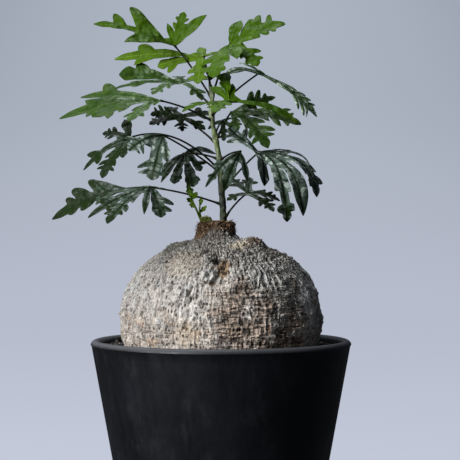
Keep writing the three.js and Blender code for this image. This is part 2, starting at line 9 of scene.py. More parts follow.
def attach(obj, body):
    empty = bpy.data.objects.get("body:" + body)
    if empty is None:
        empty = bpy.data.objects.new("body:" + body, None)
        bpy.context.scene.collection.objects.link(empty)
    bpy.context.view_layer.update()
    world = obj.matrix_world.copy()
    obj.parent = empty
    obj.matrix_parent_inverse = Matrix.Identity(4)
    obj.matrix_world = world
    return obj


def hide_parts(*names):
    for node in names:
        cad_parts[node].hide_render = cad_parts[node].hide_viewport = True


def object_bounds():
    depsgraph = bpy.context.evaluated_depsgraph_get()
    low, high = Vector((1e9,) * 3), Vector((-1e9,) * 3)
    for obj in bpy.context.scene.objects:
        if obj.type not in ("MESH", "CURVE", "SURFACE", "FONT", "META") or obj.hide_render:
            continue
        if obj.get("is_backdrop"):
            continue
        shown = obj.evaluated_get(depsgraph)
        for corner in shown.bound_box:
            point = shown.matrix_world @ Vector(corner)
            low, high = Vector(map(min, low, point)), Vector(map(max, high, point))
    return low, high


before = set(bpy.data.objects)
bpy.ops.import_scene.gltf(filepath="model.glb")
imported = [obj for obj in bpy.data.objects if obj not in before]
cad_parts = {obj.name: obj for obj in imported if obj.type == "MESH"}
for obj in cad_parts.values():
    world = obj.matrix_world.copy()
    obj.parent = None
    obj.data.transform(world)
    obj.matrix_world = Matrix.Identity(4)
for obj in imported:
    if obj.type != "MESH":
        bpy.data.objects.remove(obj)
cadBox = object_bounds()
mm = 0.001  # sizes and places below are in millimetres, and this turns them to metres
noise.seed_set(4)  # without it noise_vector starts from another place in each run
print("frame loaded")


# Small tools

def deselectAll():
    if bpy.context.mode != "OBJECT":
        bpy.ops.object.mode_set(mode="OBJECT")
    bpy.ops.object.select_all(action="DESELECT")


def selectOnly(piece):
    deselectAll()
    piece.select_set(True)
    bpy.context.view_layer.objects.active = piece


def startEdit(piece):
    selectOnly(piece)
    bpy.ops.object.mode_set(mode="EDIT")
    bpy.ops.mesh.select_all(action="SELECT")


def smoothstep(low, high, value):
    share = min(1.0, max(0.0, (value - low) / (high - low)))
    return share * share * (3 - 2 * share)


def blendOf(a, b, share):
    return a + (b - a) * share


def meshPiece(name, points, faces, values=None, vectors=None):
    mesh = bpy.data.meshes.new(name)
    mesh.from_pydata([Vector(point) * mm for point in points], [], faces)
    for key, numbers in (values or {}).items():
        layer = mesh.attributes.new(key, "FLOAT", "POINT")
        layer.data.foreach_set("value", numbers)
    for key, rows in (vectors or {}).items():
        layer = mesh.attributes.new(key, "FLOAT_VECTOR", "POINT")
        layer.data.foreach_set("vector", [number for row in rows for number in row])
    mesh.update()
    piece = bpy.data.objects.new(name, mesh)
    bpy.context.scene.collection.objects.link(piece)
    return piece


def shadeRound(piece, angle):
    selectOnly(piece)
    bpy.ops.object.shade_smooth_by_angle(angle=math.radians(angle))


def finishPiece(piece, material, slotName, *nodes):
    piece.data.materials.clear()
    piece.data.materials.append(material)
    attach(piece, "root")
    if nodes:
        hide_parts(*nodes)


def startVertex(name, radius, height):
    deselectAll()
    bpy.ops.mesh.primitive_plane_add(size=mm, location=(0, 0, 0))
    piece = bpy.context.object
    piece.name = name
    piece.data.name = name
    startEdit(piece)
    bpy.ops.mesh.merge(type="CENTER")
    bpy.ops.transform.translate(value=(radius * mm, 0, height * mm))
    return piece


# A shape turned about the pot's axis from a profile of [radius, height] points
def turnedPiece(name, profile, steps):
    piece = startVertex(name, *profile[0])
    for (r0, z0), (r1, z1) in zip(profile, profile[1:]):
        move = ((r1 - r0) * mm, 0, (z1 - z0) * mm)
        bpy.ops.mesh.extrude_vertices_move(TRANSFORM_OT_translate={"value": move})
    bpy.ops.mesh.select_all(action="SELECT")
    bpy.ops.mesh.spin(steps=steps, angle=2 * math.pi, center=(0, 0, 0), axis=(0, 0, 1))
    bpy.ops.mesh.select_all(action="SELECT")
    bpy.ops.mesh.remove_doubles(threshold=0.01 * mm)
    bpy.ops.mesh.normals_make_consistent(inside=False)
    bpy.ops.object.mode_set(mode="OBJECT")
    return piece


# Points of a round profile corner
def arcPoints(centre, radii, angles):
    found = []
    for turn in angles:
        angle = math.radians(turn)
        found.append((centre[0] + radii[0] * math.cos(angle), centre[1] + radii[1] * math.sin(angle)))
    return found


# Smooth line through points, with a number of even steps
def smoothLine(points, steps):
    perSpan = 12  # fine points between two given ones
    rows = [Vector(point) for point in points]
    ends = [2 * rows[0] - rows[1]] + rows + [2 * rows[-1] - rows[-2]]
    fine = []
    for a, b, c, d in zip(ends, ends[1:], ends[2:], ends[3:]):
        for i in range(perSpan):
            t = i / perSpan
            fine.append(0.5 * (2 * b + (c - a) * t + (2 * a - 5 * b + 4 * c - d) * t * t
                               + (3 * b - a - 3 * c + d) * t ** 3))
    fine.append(rows[-1])
    lengths = [0.0]
    for a, b in zip(fine, fine[1:]):
        lengths.append(lengths[-1] + (b - a).length)
    found = []
    k = 0
    for i in range(steps + 1):
        goal = lengths[-1] * i / steps
        while k < len(fine) - 2 and lengths[k + 1] < goal:
            k += 1
        span = max(1e-9, lengths[k + 1] - lengths[k])
        found.append(fine[k].lerp(fine[k + 1], (goal - lengths[k]) / span))
    return found


# Round bar along a line of points, with its own radius at each, as points and faces
def barShape(line, radii, sides, first=0):
    points = []
    faces = []
    along = (line[1] - line[0]).normalized()
    side = along.orthogonal().normalized()
    for i, (place, radius) in enumerate(zip(line, radii)):
        ahead = line[min(i + 1, len(line) - 1)] - line[max(i - 1, 0)]
        along = ahead.normalized()
        side = (side - along * side.dot(along)).normalized()
        other = along.cross(side)
        for k in range(sides):
            angle = 2 * math.pi * k / sides
            points.append(place + side * math.cos(angle) * radius + other * math.sin(angle) * radius)
        if i:
            for k in range(sides):
                a = first + (i - 1) * sides + k
                b = first + (i - 1) * sides + (k + 1) % sides
                faces.append((a, b, b + sides, a + sides))
    last = first + (len(line) - 1) * sides
    faces.append(tuple(first + k for k in reversed(range(sides))))
    faces.append(tuple(last + k for k in range(sides)))
    return points, faces


# Node tools for the materials

def addNode(tree, kind, inputs=None, **settings):
    made = tree.nodes.new(kind)
    for key, value in settings.items():
        setattr(made, key, value)
    for key, value in (inputs or {}).items():
        if isinstance(value, bpy.types.NodeSocket):
            tree.links.new(value, made.inputs[key])
        else:
            made.inputs[key].default_value = value
    return made


def newMaterial(name, values):
    material = bpy.data.materials.new(name)
    material.use_nodes = True
    tree = material.node_tree
    shader = tree.nodes["Principled BSDF"]
    for key, value in values.items():
        shader.inputs[key].default_value = value
    return material, tree, shader


def attributeOf(tree, name, output="Fac"):
    return addNode(tree, "ShaderNodeAttribute", attribute_name=name).outputs[output]


def rampOf(tree, factor, stops):
    made = addNode(tree, "ShaderNodeValToRGB", {"Fac": factor})
    elements = made.color_ramp.elements
    while len(elements) < len(stops):
        elements.new(0.5)
    for element, (place, colour) in zip(elements, stops):
        element.position = place
        element.color = (*colour, 1)
    return made.outputs["Color"]


def greyStops(*pairs):
    return [(place, (grey, grey, grey)) for place, grey in pairs]


def mixOf(tree, factor, a, b, blend="MIX"):
    made = addNode(tree, "ShaderNodeMix", data_type="RGBA", blend_type=blend)
    for index, value in ((0, factor), (6, a), (7, b)):
        if isinstance(value, bpy.types.NodeSocket):
            tree.links.new(value, made.inputs[index])
        else:
            made.inputs[index].default_value = value if index == 0 else (*value, 1)
    return made.outputs[2]


def mathOf(tree, operation, a, b=0.0, clamp=False):
    made = addNode(tree, "ShaderNodeMath", {0: a, 1: b}, operation=operation, use_clamp=clamp)
    return made.outputs[0]


def mapOf(tree, value, *limits, soft=False):
    kind = "SMOOTHSTEP" if soft else "LINEAR"
    ends = {index + 1: limit for index, limit in enumerate(limits)}
    return addNode(tree, "ShaderNodeMapRange", {0: value, **ends}, interpolation_type=kind).outputs[0]


def timesOf(tree, first, *others):
    for other in others:
        first = mathOf(tree, "MULTIPLY", first, other)
    return first


def plusOf(tree, first, *others):
    for other in others:
        first = mathOf(tree, "ADD", first, other)
    return first


def stretched(tree, vector, scale, place=(0, 0, 0)):
    inputs = {"Vector": vector, "Scale": scale, "Location": place}
    return addNode(tree, "ShaderNodeMapping", inputs).outputs[0]


def noiseOf(tree, vector, scale, detail=4, roughness=0.55):
    inputs = {"Vector": vector, "Scale": scale, "Detail": detail, "Roughness": roughness}
    return addNode(tree, "ShaderNodeTexNoise", inputs).outputs["Fac"]


def cellsOf(tree, vector, scale, feature="F1"):
    inputs = {"Vector": vector, "Scale": scale}
    return addNode(tree, "ShaderNodeTexVoronoi", inputs, feature=feature).outputs["Distance"]


def bumpOf(tree, height, distance, strength=1.0, normal=None):
    inputs = {"Height": height, "Distance": distance * mm, "Strength": strength}
    made = addNode(tree, "ShaderNodeBump", inputs)
    if normal:
        tree.links.new(normal, made.inputs["Normal"])
    return made.outputs[0]


def objectPlace(tree):
    return addNode(tree, "ShaderNodeTexCoord").outputs["Object"]


def axesOf(tree, place):
    return addNode(tree, "ShaderNodeSeparateXYZ", {0: place}).outputs


# Node group with its inputs as [name, kind of socket], and one value that it puts out
def startGroup(name, inputs, output):
    group = bpy.data.node_groups.new(name, "ShaderNodeTree")
    for key, kind in inputs:
        group.interface.new_socket(name=key, in_out="INPUT", socket_type="NodeSocket" + kind)
    group.interface.new_socket(name=output, in_out="OUTPUT", socket_type="NodeSocketFloat")
    return group, group.nodes.new("NodeGroupInput").outputs, group.nodes.new("NodeGroupOutput").inputs


# Shared effect: uneven mottle, from soft clouds and fine specks, 0 to 1
def mottleGroup():
    numbers = [(key, "Float") for key in ("Cloud Scale", "Speck Scale", "Speck Share")]
    group, given, result = startGroup("mottle", [("Vector", "Vector"), *numbers], "Mask")
    clouds = noiseOf(group, given["Vector"], given["Cloud Scale"], 5)
    specks = noiseOf(group, given["Vector"], given["Speck Scale"], 3)
    made = addNode(group, "ShaderNodeMix", {0: given["Speck Share"], 2: clouds, 3: specks})
    group.links.new(made.outputs[0], result["Mask"])
    return group


mottle = mottleGroup()


def mottleOf(tree, vector, cloudScale, speckScale, speckShare):
    values = {"Cloud Scale": cloudScale, "Speck Scale": speckScale, "Speck Share": speckShare}
    made = addNode(tree, "ShaderNodeGroup", {"Vector": vector, **values}, node_tree=mottle)
    return made.outputs["Mask"]


# Camera, backdrop and lights

photoView = {
    "cameraPlace": (6.2, -1035, 240.7),
    "focalPixels": 1495,
    "imagePixels": 460,
    "sensorWidth": 36,
}


def addCamera():
    deselectAll()
    place = Vector(photoView["cameraPlace"]) * mm
    bpy.ops.object.camera_add(location=place, rotation=(math.radians(90), 0, 0))
    camera = bpy.context.object
    camera.name = "photoCamera"
    camera.data.sensor_width = photoView["sensorWidth"]
    camera.data.lens = photoView["focalPixels"] / photoView["imagePixels"] * photoView["sensorWidth"]
    bpy.context.scene.camera = camera
    bpy.context.scene.view_settings.view_transform = "Standard"


backdrop = {
    "floorRings": (0, 400, 1400),
    "floorRadius": 2600,
    "wallRadius": 4000,
    "wallHeight": 5200,
    "floorDrop": 0.4,
    "fadeHeight": 1000,
    "fadeWidth": 740,
    "fade": [(0.0, (0.455, 0.49, 0.585)), (0.25, (0.435, 0.468, 0.555)), (0.65, (0.4, 0.445, 0.525))],
    "cornerShade": 0.22,
    "cornerShadeColour": (0.1, 0.12, 0.15),
    "paper": (0.08, 0.085, 0.095),
    "steps": 96,
}


# The backdrop glows with painted light, darker with height and with painted shade towards the upper corners,
# over a dim paper colour that the lamps light
def paperMaterial():
    material, tree, shader = newMaterial("palePaper", {"Roughness": 0.95, "Emission Strength": 1.0})
    axes = axesOf(tree, objectPlace(tree))
    rise = mathOf(tree, "DIVIDE", axes["Z"], backdrop["fadeHeight"] * mm, clamp=True)
    colour = rampOf(tree, rise, backdrop["fade"])
    aside = mathOf(tree, "POWER", mathOf(tree, "DIVIDE", axes["X"], backdrop["fadeWidth"] * mm), 2.0)
    corner = mathOf(tree, "MULTIPLY", aside, rise, clamp=True)
    colour = mixOf(tree, timesOf(tree, corner, backdrop["cornerShade"]), colour, backdrop["cornerShadeColour"])
    tree.links.new(colour, shader.inputs["Emission Color"])
    shader.inputs["Base Color"].default_value = (*backdrop["paper"], 1)
    return material


# Round floor that curves up to a wall, seen from inside
def addBackdrop():
    floor = -backdrop["floorDrop"]
    curve = backdrop["wallRadius"] - backdrop["floorRadius"]
    profile = [(radius, floor) for radius in backdrop["floorRings"]]
    profile += arcPoints((backdrop["floorRadius"], floor + curve), (curve, curve), range(-90, 1, 6))
    profile.append((backdrop["wallRadius"], backdrop["wallHeight"]))
    bowl = turnedPiece("backdrop", profile, backdrop["steps"])
    startEdit(bowl)
    bpy.ops.mesh.normals_make_consistent(inside=True)
    bpy.ops.object.mode_set(mode="OBJECT")
    shadeRound(bowl, 60)
    bowl.data.materials.append(paperMaterial())
    bowl.visible_diffuse = False
    bowl.visible_glossy = False
    bowl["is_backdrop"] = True


lights = {
    "windowLeft": {"place": (-1090, -920, 800), "size": (700, 900), "power": 37, "colour": (1.0, 0.99, 0.98)},
    "topSoft": {"place": (-250, 420, 1500), "size": (900, 900), "power": 12, "colour": (0.92, 0.96, 1.0)},
    "frontFill": {"place": (300, -1900, 500), "size": (900, 900), "power": 1.5, "colour": (0.9, 0.95, 1.0)},
}
lightAim = (0, 0, 240)
airLight = {"colour": (0.8, 0.88, 1.0), "strength": 0.05}


def addLights():
    for name, light in lights.items():
        deselectAll()
        place = Vector(light["place"]) * mm
        bpy.ops.object.light_add(type="AREA", location=place)
        lamp = bpy.context.object
        lamp.name = name
        lamp.data.shape = "RECTANGLE"
        lamp.data.size = light["size"][0] * mm
        lamp.data.size_y = light["size"][1] * mm
        lamp.data.energy = light["power"]
        lamp.data.color = light["colour"]
        aim = Vector(lightAim) * mm - place
        lamp.rotation_euler = aim.to_track_quat("-Z", "Y").to_euler()
    world = bpy.data.worlds.new("studioAir")
    bpy.context.scene.world = world
    world.use_nodes = True
    air = world.node_tree.nodes["Background"].inputs
    air["Color"].default_value = (*airLight["colour"], 1)
    air["Strength"].default_value = airLight["strength"]


addCamera()
addBackdrop()
addLights()
print("camera, backdrop and lights ready")


# Pot

potShape = {
    "rimRadius": 90, "footRadius": 59.8, "height": 165,
    "wallAtRim": 7, "wallAtFloor": 5, "floor": 5, "lipDrop": 3.5,
    "recess": 2.5, "bossRadius": 14, "footWidth": 9,
    "holes": 6, "holeRadius": 5, "holeCircle": 34, "holeTurn": 0.13,
    "footRound": 1.5, "slope": 1, "floorRound": 3, "steps": 160,
    "wallRows": (6, 20, 50, 80, 110, 135, 155), "innerRows": (130, 60),  # heights of points on the walls
}


def outerWall(z):
    return blendOf(potShape["footRadius"], potShape["rimRadius"], z / potShape["height"])


def innerWall(z):
    return outerWall(z) - blendOf(potShape["wallAtFloor"], potShape["wallAtRim"], z / potShape["height"])


# Outline as [radius, height]: under the foot, up the wall, over the lip and down inside
def potProfile():
    shape = potShape
    lipFoot = shape["height"] - shape["lipDrop"]
    half = shape["wallAtRim"] / 2
    footInner = shape["footRadius"] - shape["footWidth"]
    footRound = shape["footRound"]
    floor = shape["floor"]
    floorEdge = innerWall(floor) - shape["floorRound"]
    profile = [(0, 0), (shape["bossRadius"] - shape["slope"], 0), (shape["bossRadius"], shape["recess"])]
    profile += [(footInner - shape["slope"], shape["recess"]), (footInner, 0)]
    footCentre = (shape["footRadius"] - footRound, footRound)
    profile += arcPoints(footCentre, (footRound, footRound), range(-90, 1, 30))
    profile += [(outerWall(z), z) for z in (*shape["wallRows"], lipFoot - 0.5)]
    profile += arcPoints((shape["rimRadius"] - half, lipFoot), (half, shape["lipDrop"]), range(8, 181, 12))
    profile += [(innerWall(z), z) for z in (lipFoot - 4, *shape["innerRows"], floor + shape["floorRound"])]
    return profile + [(floorEdge, floor), (0, floor)]


def makePot():
    shape = potShape
    pot = turnedPiece("potShell", potProfile(), shape["steps"])
    drill = {"vertices": 32, "radius": shape["holeRadius"] * mm, "depth": 4 * shape["floor"] * mm}
    for i in range(shape["holes"]):
        angle = (i + 0.5) * 2 * math.pi / shape["holes"]
        place = Vector((math.cos(angle), math.sin(angle), 0)) * shape["holeCircle"] * mm
        deselectAll()
        bpy.ops.mesh.primitive_cylinder_add(location=place, rotation=(0, 0, shape["holeTurn"]), **drill)
        bit = bpy.context.object
        selectOnly(pot)
        cut = pot.modifiers.new("drainHole", "BOOLEAN")
        cut.object = bit
        cut.solver = "EXACT"
        bpy.ops.object.modifier_apply(modifier=cut.name)
        bpy.data.objects.remove(bit)
    shadeRound(pot, 35)
    return pot


# The lip's pale colour and its height band are a painted highlight; the other colours are the moulding's own
potLooks = {
    "dark": (0.0025, 0.003, 0.004), "pale": (0.009, 0.0105, 0.0145), "smear": (0.02, 0.0225, 0.027),
    "lipHighlight": (0.11, 0.116, 0.13), "highlightFrom": 161.5, "highlightTo": 164.5, "bumpHeight": 0.08,
}


def potMaterial():
    material, tree, shader = newMaterial("blackMoulding", {"Specular IOR Level": 0.26})
    place = objectPlace(tree)
    axes = axesOf(tree, place)
    streaks = mottleOf(tree, stretched(tree, place, (1, 1, 0.12)), 60, 420, 0.35)
    haze = mottleOf(tree, place, 14, 900, 0.3)
    dust = timesOf(tree, streaks, haze)
    colour = rampOf(tree, dust, [(0.12, potLooks["dark"]), (0.42, potLooks["pale"])])
    smears = noiseOf(tree, stretched(tree, place, (1, 1, 0.5), (1, 2, 1)), 55, 6, 0.7)
    colour = mixOf(tree, mapOf(tree, smears, 0.54, 0.72, 0.0, 0.6), colour, potLooks["smear"])
    # Painted highlight along the lip's rounded top, mottled by the haze and brighter on the left, where the
    # lamp falls
    rim = mapOf(tree, axes["Z"], potLooks["highlightFrom"] * mm, potLooks["highlightTo"] * mm, soft=True)
    lipHighlight = timesOf(tree, rim, haze, mapOf(tree, axes["X"], -0.09, -0.04, 1.9, 1.0))
    colour = mixOf(tree, lipHighlight, colour, potLooks["lipHighlight"])
    tree.links.new(colour, shader.inputs["Base Color"])
    rough = plusOf(tree, mapOf(tree, dust, 0.1, 0.45, 0.4, 0.56), mapOf(tree, smears, 0.4, 0.65, -0.06, 0.08))
    tree.links.new(rough, shader.inputs["Roughness"])
    bump = bumpOf(tree, plusOf(tree, streaks, smears), potLooks["bumpHeight"], 0.6)
    tree.links.new(bump, shader.inputs["Normal"])
    return material


finishPiece(makePot(), potMaterial(), "pot", "pot")
print("pot ready")


# Caudex

clearance = 0.3  # room between the grit and what it touches

# Outline as [radius, height]: the buried part, then the part above the grit
rootOutline = [(0, 104), (26, 106), (46, 118), (57.5, 136), (64, 151), (65.9, 159)]
bodyOutline = [
    (66.6, 163), (67.6, 168), (68.5, 175), (68.7, 182), (67.6, 190), (65.4, 197.5), (62.2, 204.5),
    (57.8, 211), (52.4, 216.8), (46, 221.8), (39, 225.8), (31.5, 229), (24.5, 231.4), (18.8, 233.4),
    (15.2, 236), (13.4, 239), (12.4, 242), (12.2, 245), (10.3, 246.6), (6, 247.2), (0, 247.4),
]

# Swellings and hollows: centre, reach along each axis, and height (below 0 sinks in)
lumps = [
    ((22, -12, 233), (8, 8, 5.5), 6.5),
    ((-27, -6, 229.5), (9, 13, 5.5), 4),
    ((9, -6, 245), (4, 5, 3), 2.2),
    ((-1.8, -49, 220), (3.6, 8, 5), -4.2),
    ((2, -55, 213), (3.2, 6, 5), -2.2),
    ((12, -48, 221), (6, 8, 5), 1.8),
    ((-8.5, -55, 211), (6, 7, 6.5), 2.4),
]

# Raised rings: centre, radius, width and height
rings = [
    ((-8, -58, 211), 3.3, 1.3, 2.3),
    ((-8, -58, 211), 0.0, 1.6, -1.8),
    ((-8, -58, 211), 6.6, 1.2, -1.7),
    ((-24.5, -56, 201.5), 5.0, 1.4, 1.0),
    ((-24.5, -56, 201.5), 9.2, 1.6, 0.8),
    ((-24.5, -56, 201.5), 7.1, 1.0, -0.8),
]

# Small bumps of the knob, its flaky foot and the shoulder, as lumps
bumps = [
    ((17.5, -18, 233), (2.2, 3, 2.2), 1.8),
    ((22, -19, 236), (2.4, 3, 2.2), 1.5),
    ((26, -18, 233), (2.2, 3, 2.4), 1.7),
    ((21.5, -20, 231.5), (1.8, 3, 1.5), -1.6),
    ((13, -22, 230), (2.6, 3, 1.4), 1.2),
    ((11, -26, 228), (1.8, 3, 1.5), -1.4),
    ((-24, -18, 230), (2.4, 3, 1.6), 1.2),
    ((-33, -14, 229), (2.2, 3, 1.8), 1.3),
    ((8, -12, 244), (2.2, 2.4, 2.2), 1.4),
    ((-24, -5, 232), (6.5, 9, 4.5), -3.6),
]

# Level steps of the scar in front
ledges = {"centre": (1.5, -53.5, 215.5), "reach": 6.4, "step": 3.3, "height": 2.3}

caudexShape = {
    "columns": 560, "rows": 172, "frontShare": 0.36,  # columns stand closer on the front
    "girth": 68, "neckX": -3.5, "neckFrom": 224, "neckTo": 234, "lineZ": 161,
    "neckSkin": (231, 237), "topSkin": (206, 226),  # heights between which each skin takes over
    "slopeFrom": 205, "slopeTo": 232, "slopeLift": 1.1, "neckLift": 0.2,  # relief leans up there
    "topFrom": 245.2, "topTo": 247, "topShare": 0.5,  # and is lower on the neck's flat top
    "strandHeight": 0.85, "strandSizes": (3.1, 15), "threadHeight": 0.5, "threadSizes": (1.9, 5),
    "pitDepth": 1.25, "pitSize": 2.7, "crackDepth": 1.05, "crackSizes": (24, 1.9),
    "lumpHeight": 1.2, "knobHeight": 1.5, "knobSize": 4.3, "crumbDepth": 1.5, "crumbSize": 2.4,
    "flakeSize": 2.3, "flakeDepth": 1.3, "fibreHeight": 0.9, "fibreSize": 3.2,
}
brownSkin = {
    "height": 241.5, "leftDrop": 7, "rightDrop": 3, "edge": 1.6, "unevenness": 2.2, "waveSize": 3.4,
}


# Height of the lumps, rings and ledges at a place
def lumpHeight(place):
    total = 0.0
    for at, reach, height in lumps + bumps:
        q = sum(((place[i] - at[i]) / reach[i]) ** 2 for i in range(3))
        total += height * math.exp(-q)
    for at, radius, width, height in rings:
        away = (place - Vector(at)).length + 1.1 * noise.noise(place / 2.6)
        total += height * math.exp(-((away - radius) / width) ** 2)
    near = (place - Vector(ledges["centre"])).length / ledges["reach"]
    if near < 2:
        phase = (place.z + 0.25 * place.x + 1.2 * noise.noise(place / 3)) / ledges["step"]
        total += ledges["height"] * (phase % 1.0 - 0.55) * math.exp(-near ** 4)
    return total


# 1 where a point of the bark faces an angle, 0 far from it: -90 degrees is the front, 0 the right
def angleWindow(angle, middle, half):
    turn = abs((math.degrees(angle) - middle + 180) % 360 - 180)
    return smoothstep(half, half * 0.55, turn)


# 1 where a noise crosses its middle, falling to 0: gives long wandering crests
def crestAt(place, sizes, width):
    value = noise.noise(Vector((place.x / sizes[0], place.y / sizes[0], place.z / sizes[1])))
    return max(0.0, 1 - abs(value) / width)


# Share of the brown, fibrous skin: it reaches far down the neck's left and sits high in front
def brownAt(angle, place):
    skin = brownSkin
    lowest = skin["height"] - skin["leftDrop"] * angleWindow(angle, 180, 75)
    lowest -= skin["rightDrop"] * angleWindow(angle, 0, 60)
    uneven = skin["unevenness"] * noise.noise(place / skin["waveSize"])
    return smoothstep(lowest - skin["edge"], lowest + skin["edge"], place.z + uneven)


# Share of the cracked skin: strong on the front's right, weaker all along the front's foot
def crackedAt(angle, place):
    ragged = noise.noise(place / 9 + Vector((5, 5, 5)))
    side = angleWindow(angle + 0.25 * ragged, -66, 36) * smoothstep(214, 200, place.z + 8 * ragged)
    foot = 0.4 * smoothstep(184, 170, place.z + 5 * ragged) * angleWindow(angle, -90, 110)
    return max(side, foot)


# Height of the bark's relief at a place, with the masks that the material colours by.
# The wrapped place runs round the girth and along the outline, so strands follow the skin.
def barkAt(angle, place, wrapped):
    shape = caudexShape
    onNeck = smoothstep(*shape["neckSkin"], place.z)
    onTop = smoothstep(*shape["topSkin"], place.z)
    cracked = crackedAt(angle, place)
    warp = noise.noise_vector(place / 10)
    bent = wrapped + 2.4 * warp

    # Grey skin: swellings, upright strands and threads, pits, level cracks and crumbs
    strand = crestAt(bent, shape["strandSizes"], 0.34)
    thread = crestAt(bent + Vector((40, 9, 3)), shape["threadSizes"], 0.4)
    pitted = smoothstep(-0.25, 0.2, noise.noise(place / 8 + Vector((3, 8, 5))))
    near = noise.voronoi(Vector((bent.x, bent.y, bent.z * 0.75)) / shape["pitSize"])[0]
    pit = smoothstep(0.5, 0.2, near[0]) * pitted * (1 - 0.6 * strand)
    crack = crestAt(bent + Vector((5, 70, 0)), shape["crackSizes"], 0.36) * cracked
    crumbs = noise.voronoi(place / shape["crumbSize"] + 0.7 * warp)[0]
    crumb = smoothstep(0.03, 0.42, crumbs[1] - crumbs[0])
    swell = shape["lumpHeight"] * (noise.noise(place / 20) + 0.8 * noise.noise(place / 7 + Vector((7, 3, 1))))
    swell += shape["knobHeight"] * max(0.0, noise.noise(bent / shape["knobSize"])) * (1 - 0.7 * cracked)
    body = swell + shape["strandHeight"] * strand * (1 - 0.6 * onTop) * (1 - 0.35 * cracked)
    body += shape["threadHeight"] * thread * (1 - 0.5 * cracked)
    body -= shape["pitDepth"] * pit
    body -= shape["crackDepth"] * crack
    body += shape["crumbDepth"] * (crumb - 0.7) * max(onTop, 0.3)

    # Flaky skin of the neck
    flakes = noise.voronoi(Vector((place.x, place.y, place.z * 0.6)) / shape["flakeSize"] + 0.7 * warp)[0]
    flake = smoothstep(0.02, 0.5, flakes[1] - flakes[0])
    neckBody = shape["flakeDepth"] * (flake - 0.6)
    neckBody += shape["fibreHeight"] * noise.noise(place / shape["fibreSize"])

    # Both together, from the grit's line up
    rise = smoothstep(shape["lineZ"] - 1, shape["lineZ"] + 5, place.z)
    height = rise * blendOf(body, neckBody, onNeck)
    hollowShade = max(pit, crack * (1 - 0.6 * strand), 0.8 * (1 - crumb) * onTop) * (1 - onNeck)
    hollowShade = max(hollowShade, (1 - flake) * onNeck)
    sideways = math.cos(angle)
    # Masks that the material colours by: painted shade in the hollows, painted highlight on the strands, a
    # darker tone painted on the lit left side and painted light on the shaded right side; the cracked and
    # brown skins are the bark's own colours
    masks = {
        "hollowShade": hollowShade,
        "strand": strand * (1 - onNeck),
        "cracked": cracked,
        "left": smoothstep(0.2, 0.8, -sideways),
        "right": smoothstep(0.1, 0.65, sideways) * smoothstep(1.15, 0.8, sideways),
        "brown": brownAt(angle, place),
    }
    return height, masks


# The neck stands left of the body's middle
def neckShift(z):
    return caudexShape["neckX"] * smoothstep(caudexShape["neckFrom"], caudexShape["neckTo"], z)


def makeCaudex():
    shape = caudexShape
    body = smoothLine([(r, 0, z) for r, z in bodyOutline], shape["rows"])
    rows = rootOutline + [(max(0.0, p.x), p.z) for p in body]
    arcs = [0.0]
    for (r0, z0), (r1, z1) in zip(rows, rows[1:]):
        arcs.append(arcs[-1] + math.hypot(r1 - r0, z1 - z0))
    columns = shape["columns"]
    points = []
    values = {"hollowShade": [], "strand": [], "cracked": [], "left": [], "right": [], "brown": []}
    wraps = []

    # Rings of points, pushed out by the bark's relief
    for (radius, z), arc in list(zip(rows, arcs))[1:-1]:
        lift = smoothstep(shape["slopeFrom"], shape["slopeTo"], z) * shape["slopeLift"]
        lift *= 1 if z < shape["neckTo"] else shape["neckLift"]
        calm = 1 - shape["topShare"] * smoothstep(shape["topFrom"], shape["topTo"], z)
        for k in range(columns):
            angle = 2 * math.pi * k / columns
            angle -= shape["frontShare"] * math.cos(angle)
            place = Vector((radius * math.cos(angle) + neckShift(z), radius * math.sin(angle), z))
            wrapped = Vector((shape["girth"] * math.cos(angle), shape["girth"] * math.sin(angle), arc))
            wraps.append(wrapped * mm)
            height, masks = 0.0, {}
            if z > shape["lineZ"] - 1:
                height, masks = barkAt(angle, place, wrapped)
                height = height * calm + lumpHeight(place)
            out = Vector((math.cos(angle), math.sin(angle), lift)).normalized()
            points.append(place + out * height)
            for key, numbers in values.items():
                numbers.append(masks.get(key, 0.0))

    # Faces between the rings, and a fan at the foot and at the top
    faces = []
    count = len(rows) - 2
    for i in range(count - 1):
        for k in range(columns):
            a = i * columns + k
            b = i * columns + (k + 1) % columns
            faces.append((a, b, b + columns, a + columns))
    for pole, row, order in ((0, 0, -1), (len(rows) - 1, count - 1, 1)):
        z = rows[pole][1]
        points.append(Vector((neckShift(z), 0, z)))
        wraps.append(Vector((0, 0, arcs[pole] * mm)))
        for key, numbers in values.items():
            numbers.append(1.0 if key == "brown" and pole else 0.0)
        for k in range(columns):
            ring = (row * columns + k, row * columns + (k + 1) % columns)
            faces.append((*ring[::order], len(points) - 1))
    piece = meshPiece("caudexBark", points, faces, values, {"wrap": wraps})
    shadeRound(piece, 80)
    return piece
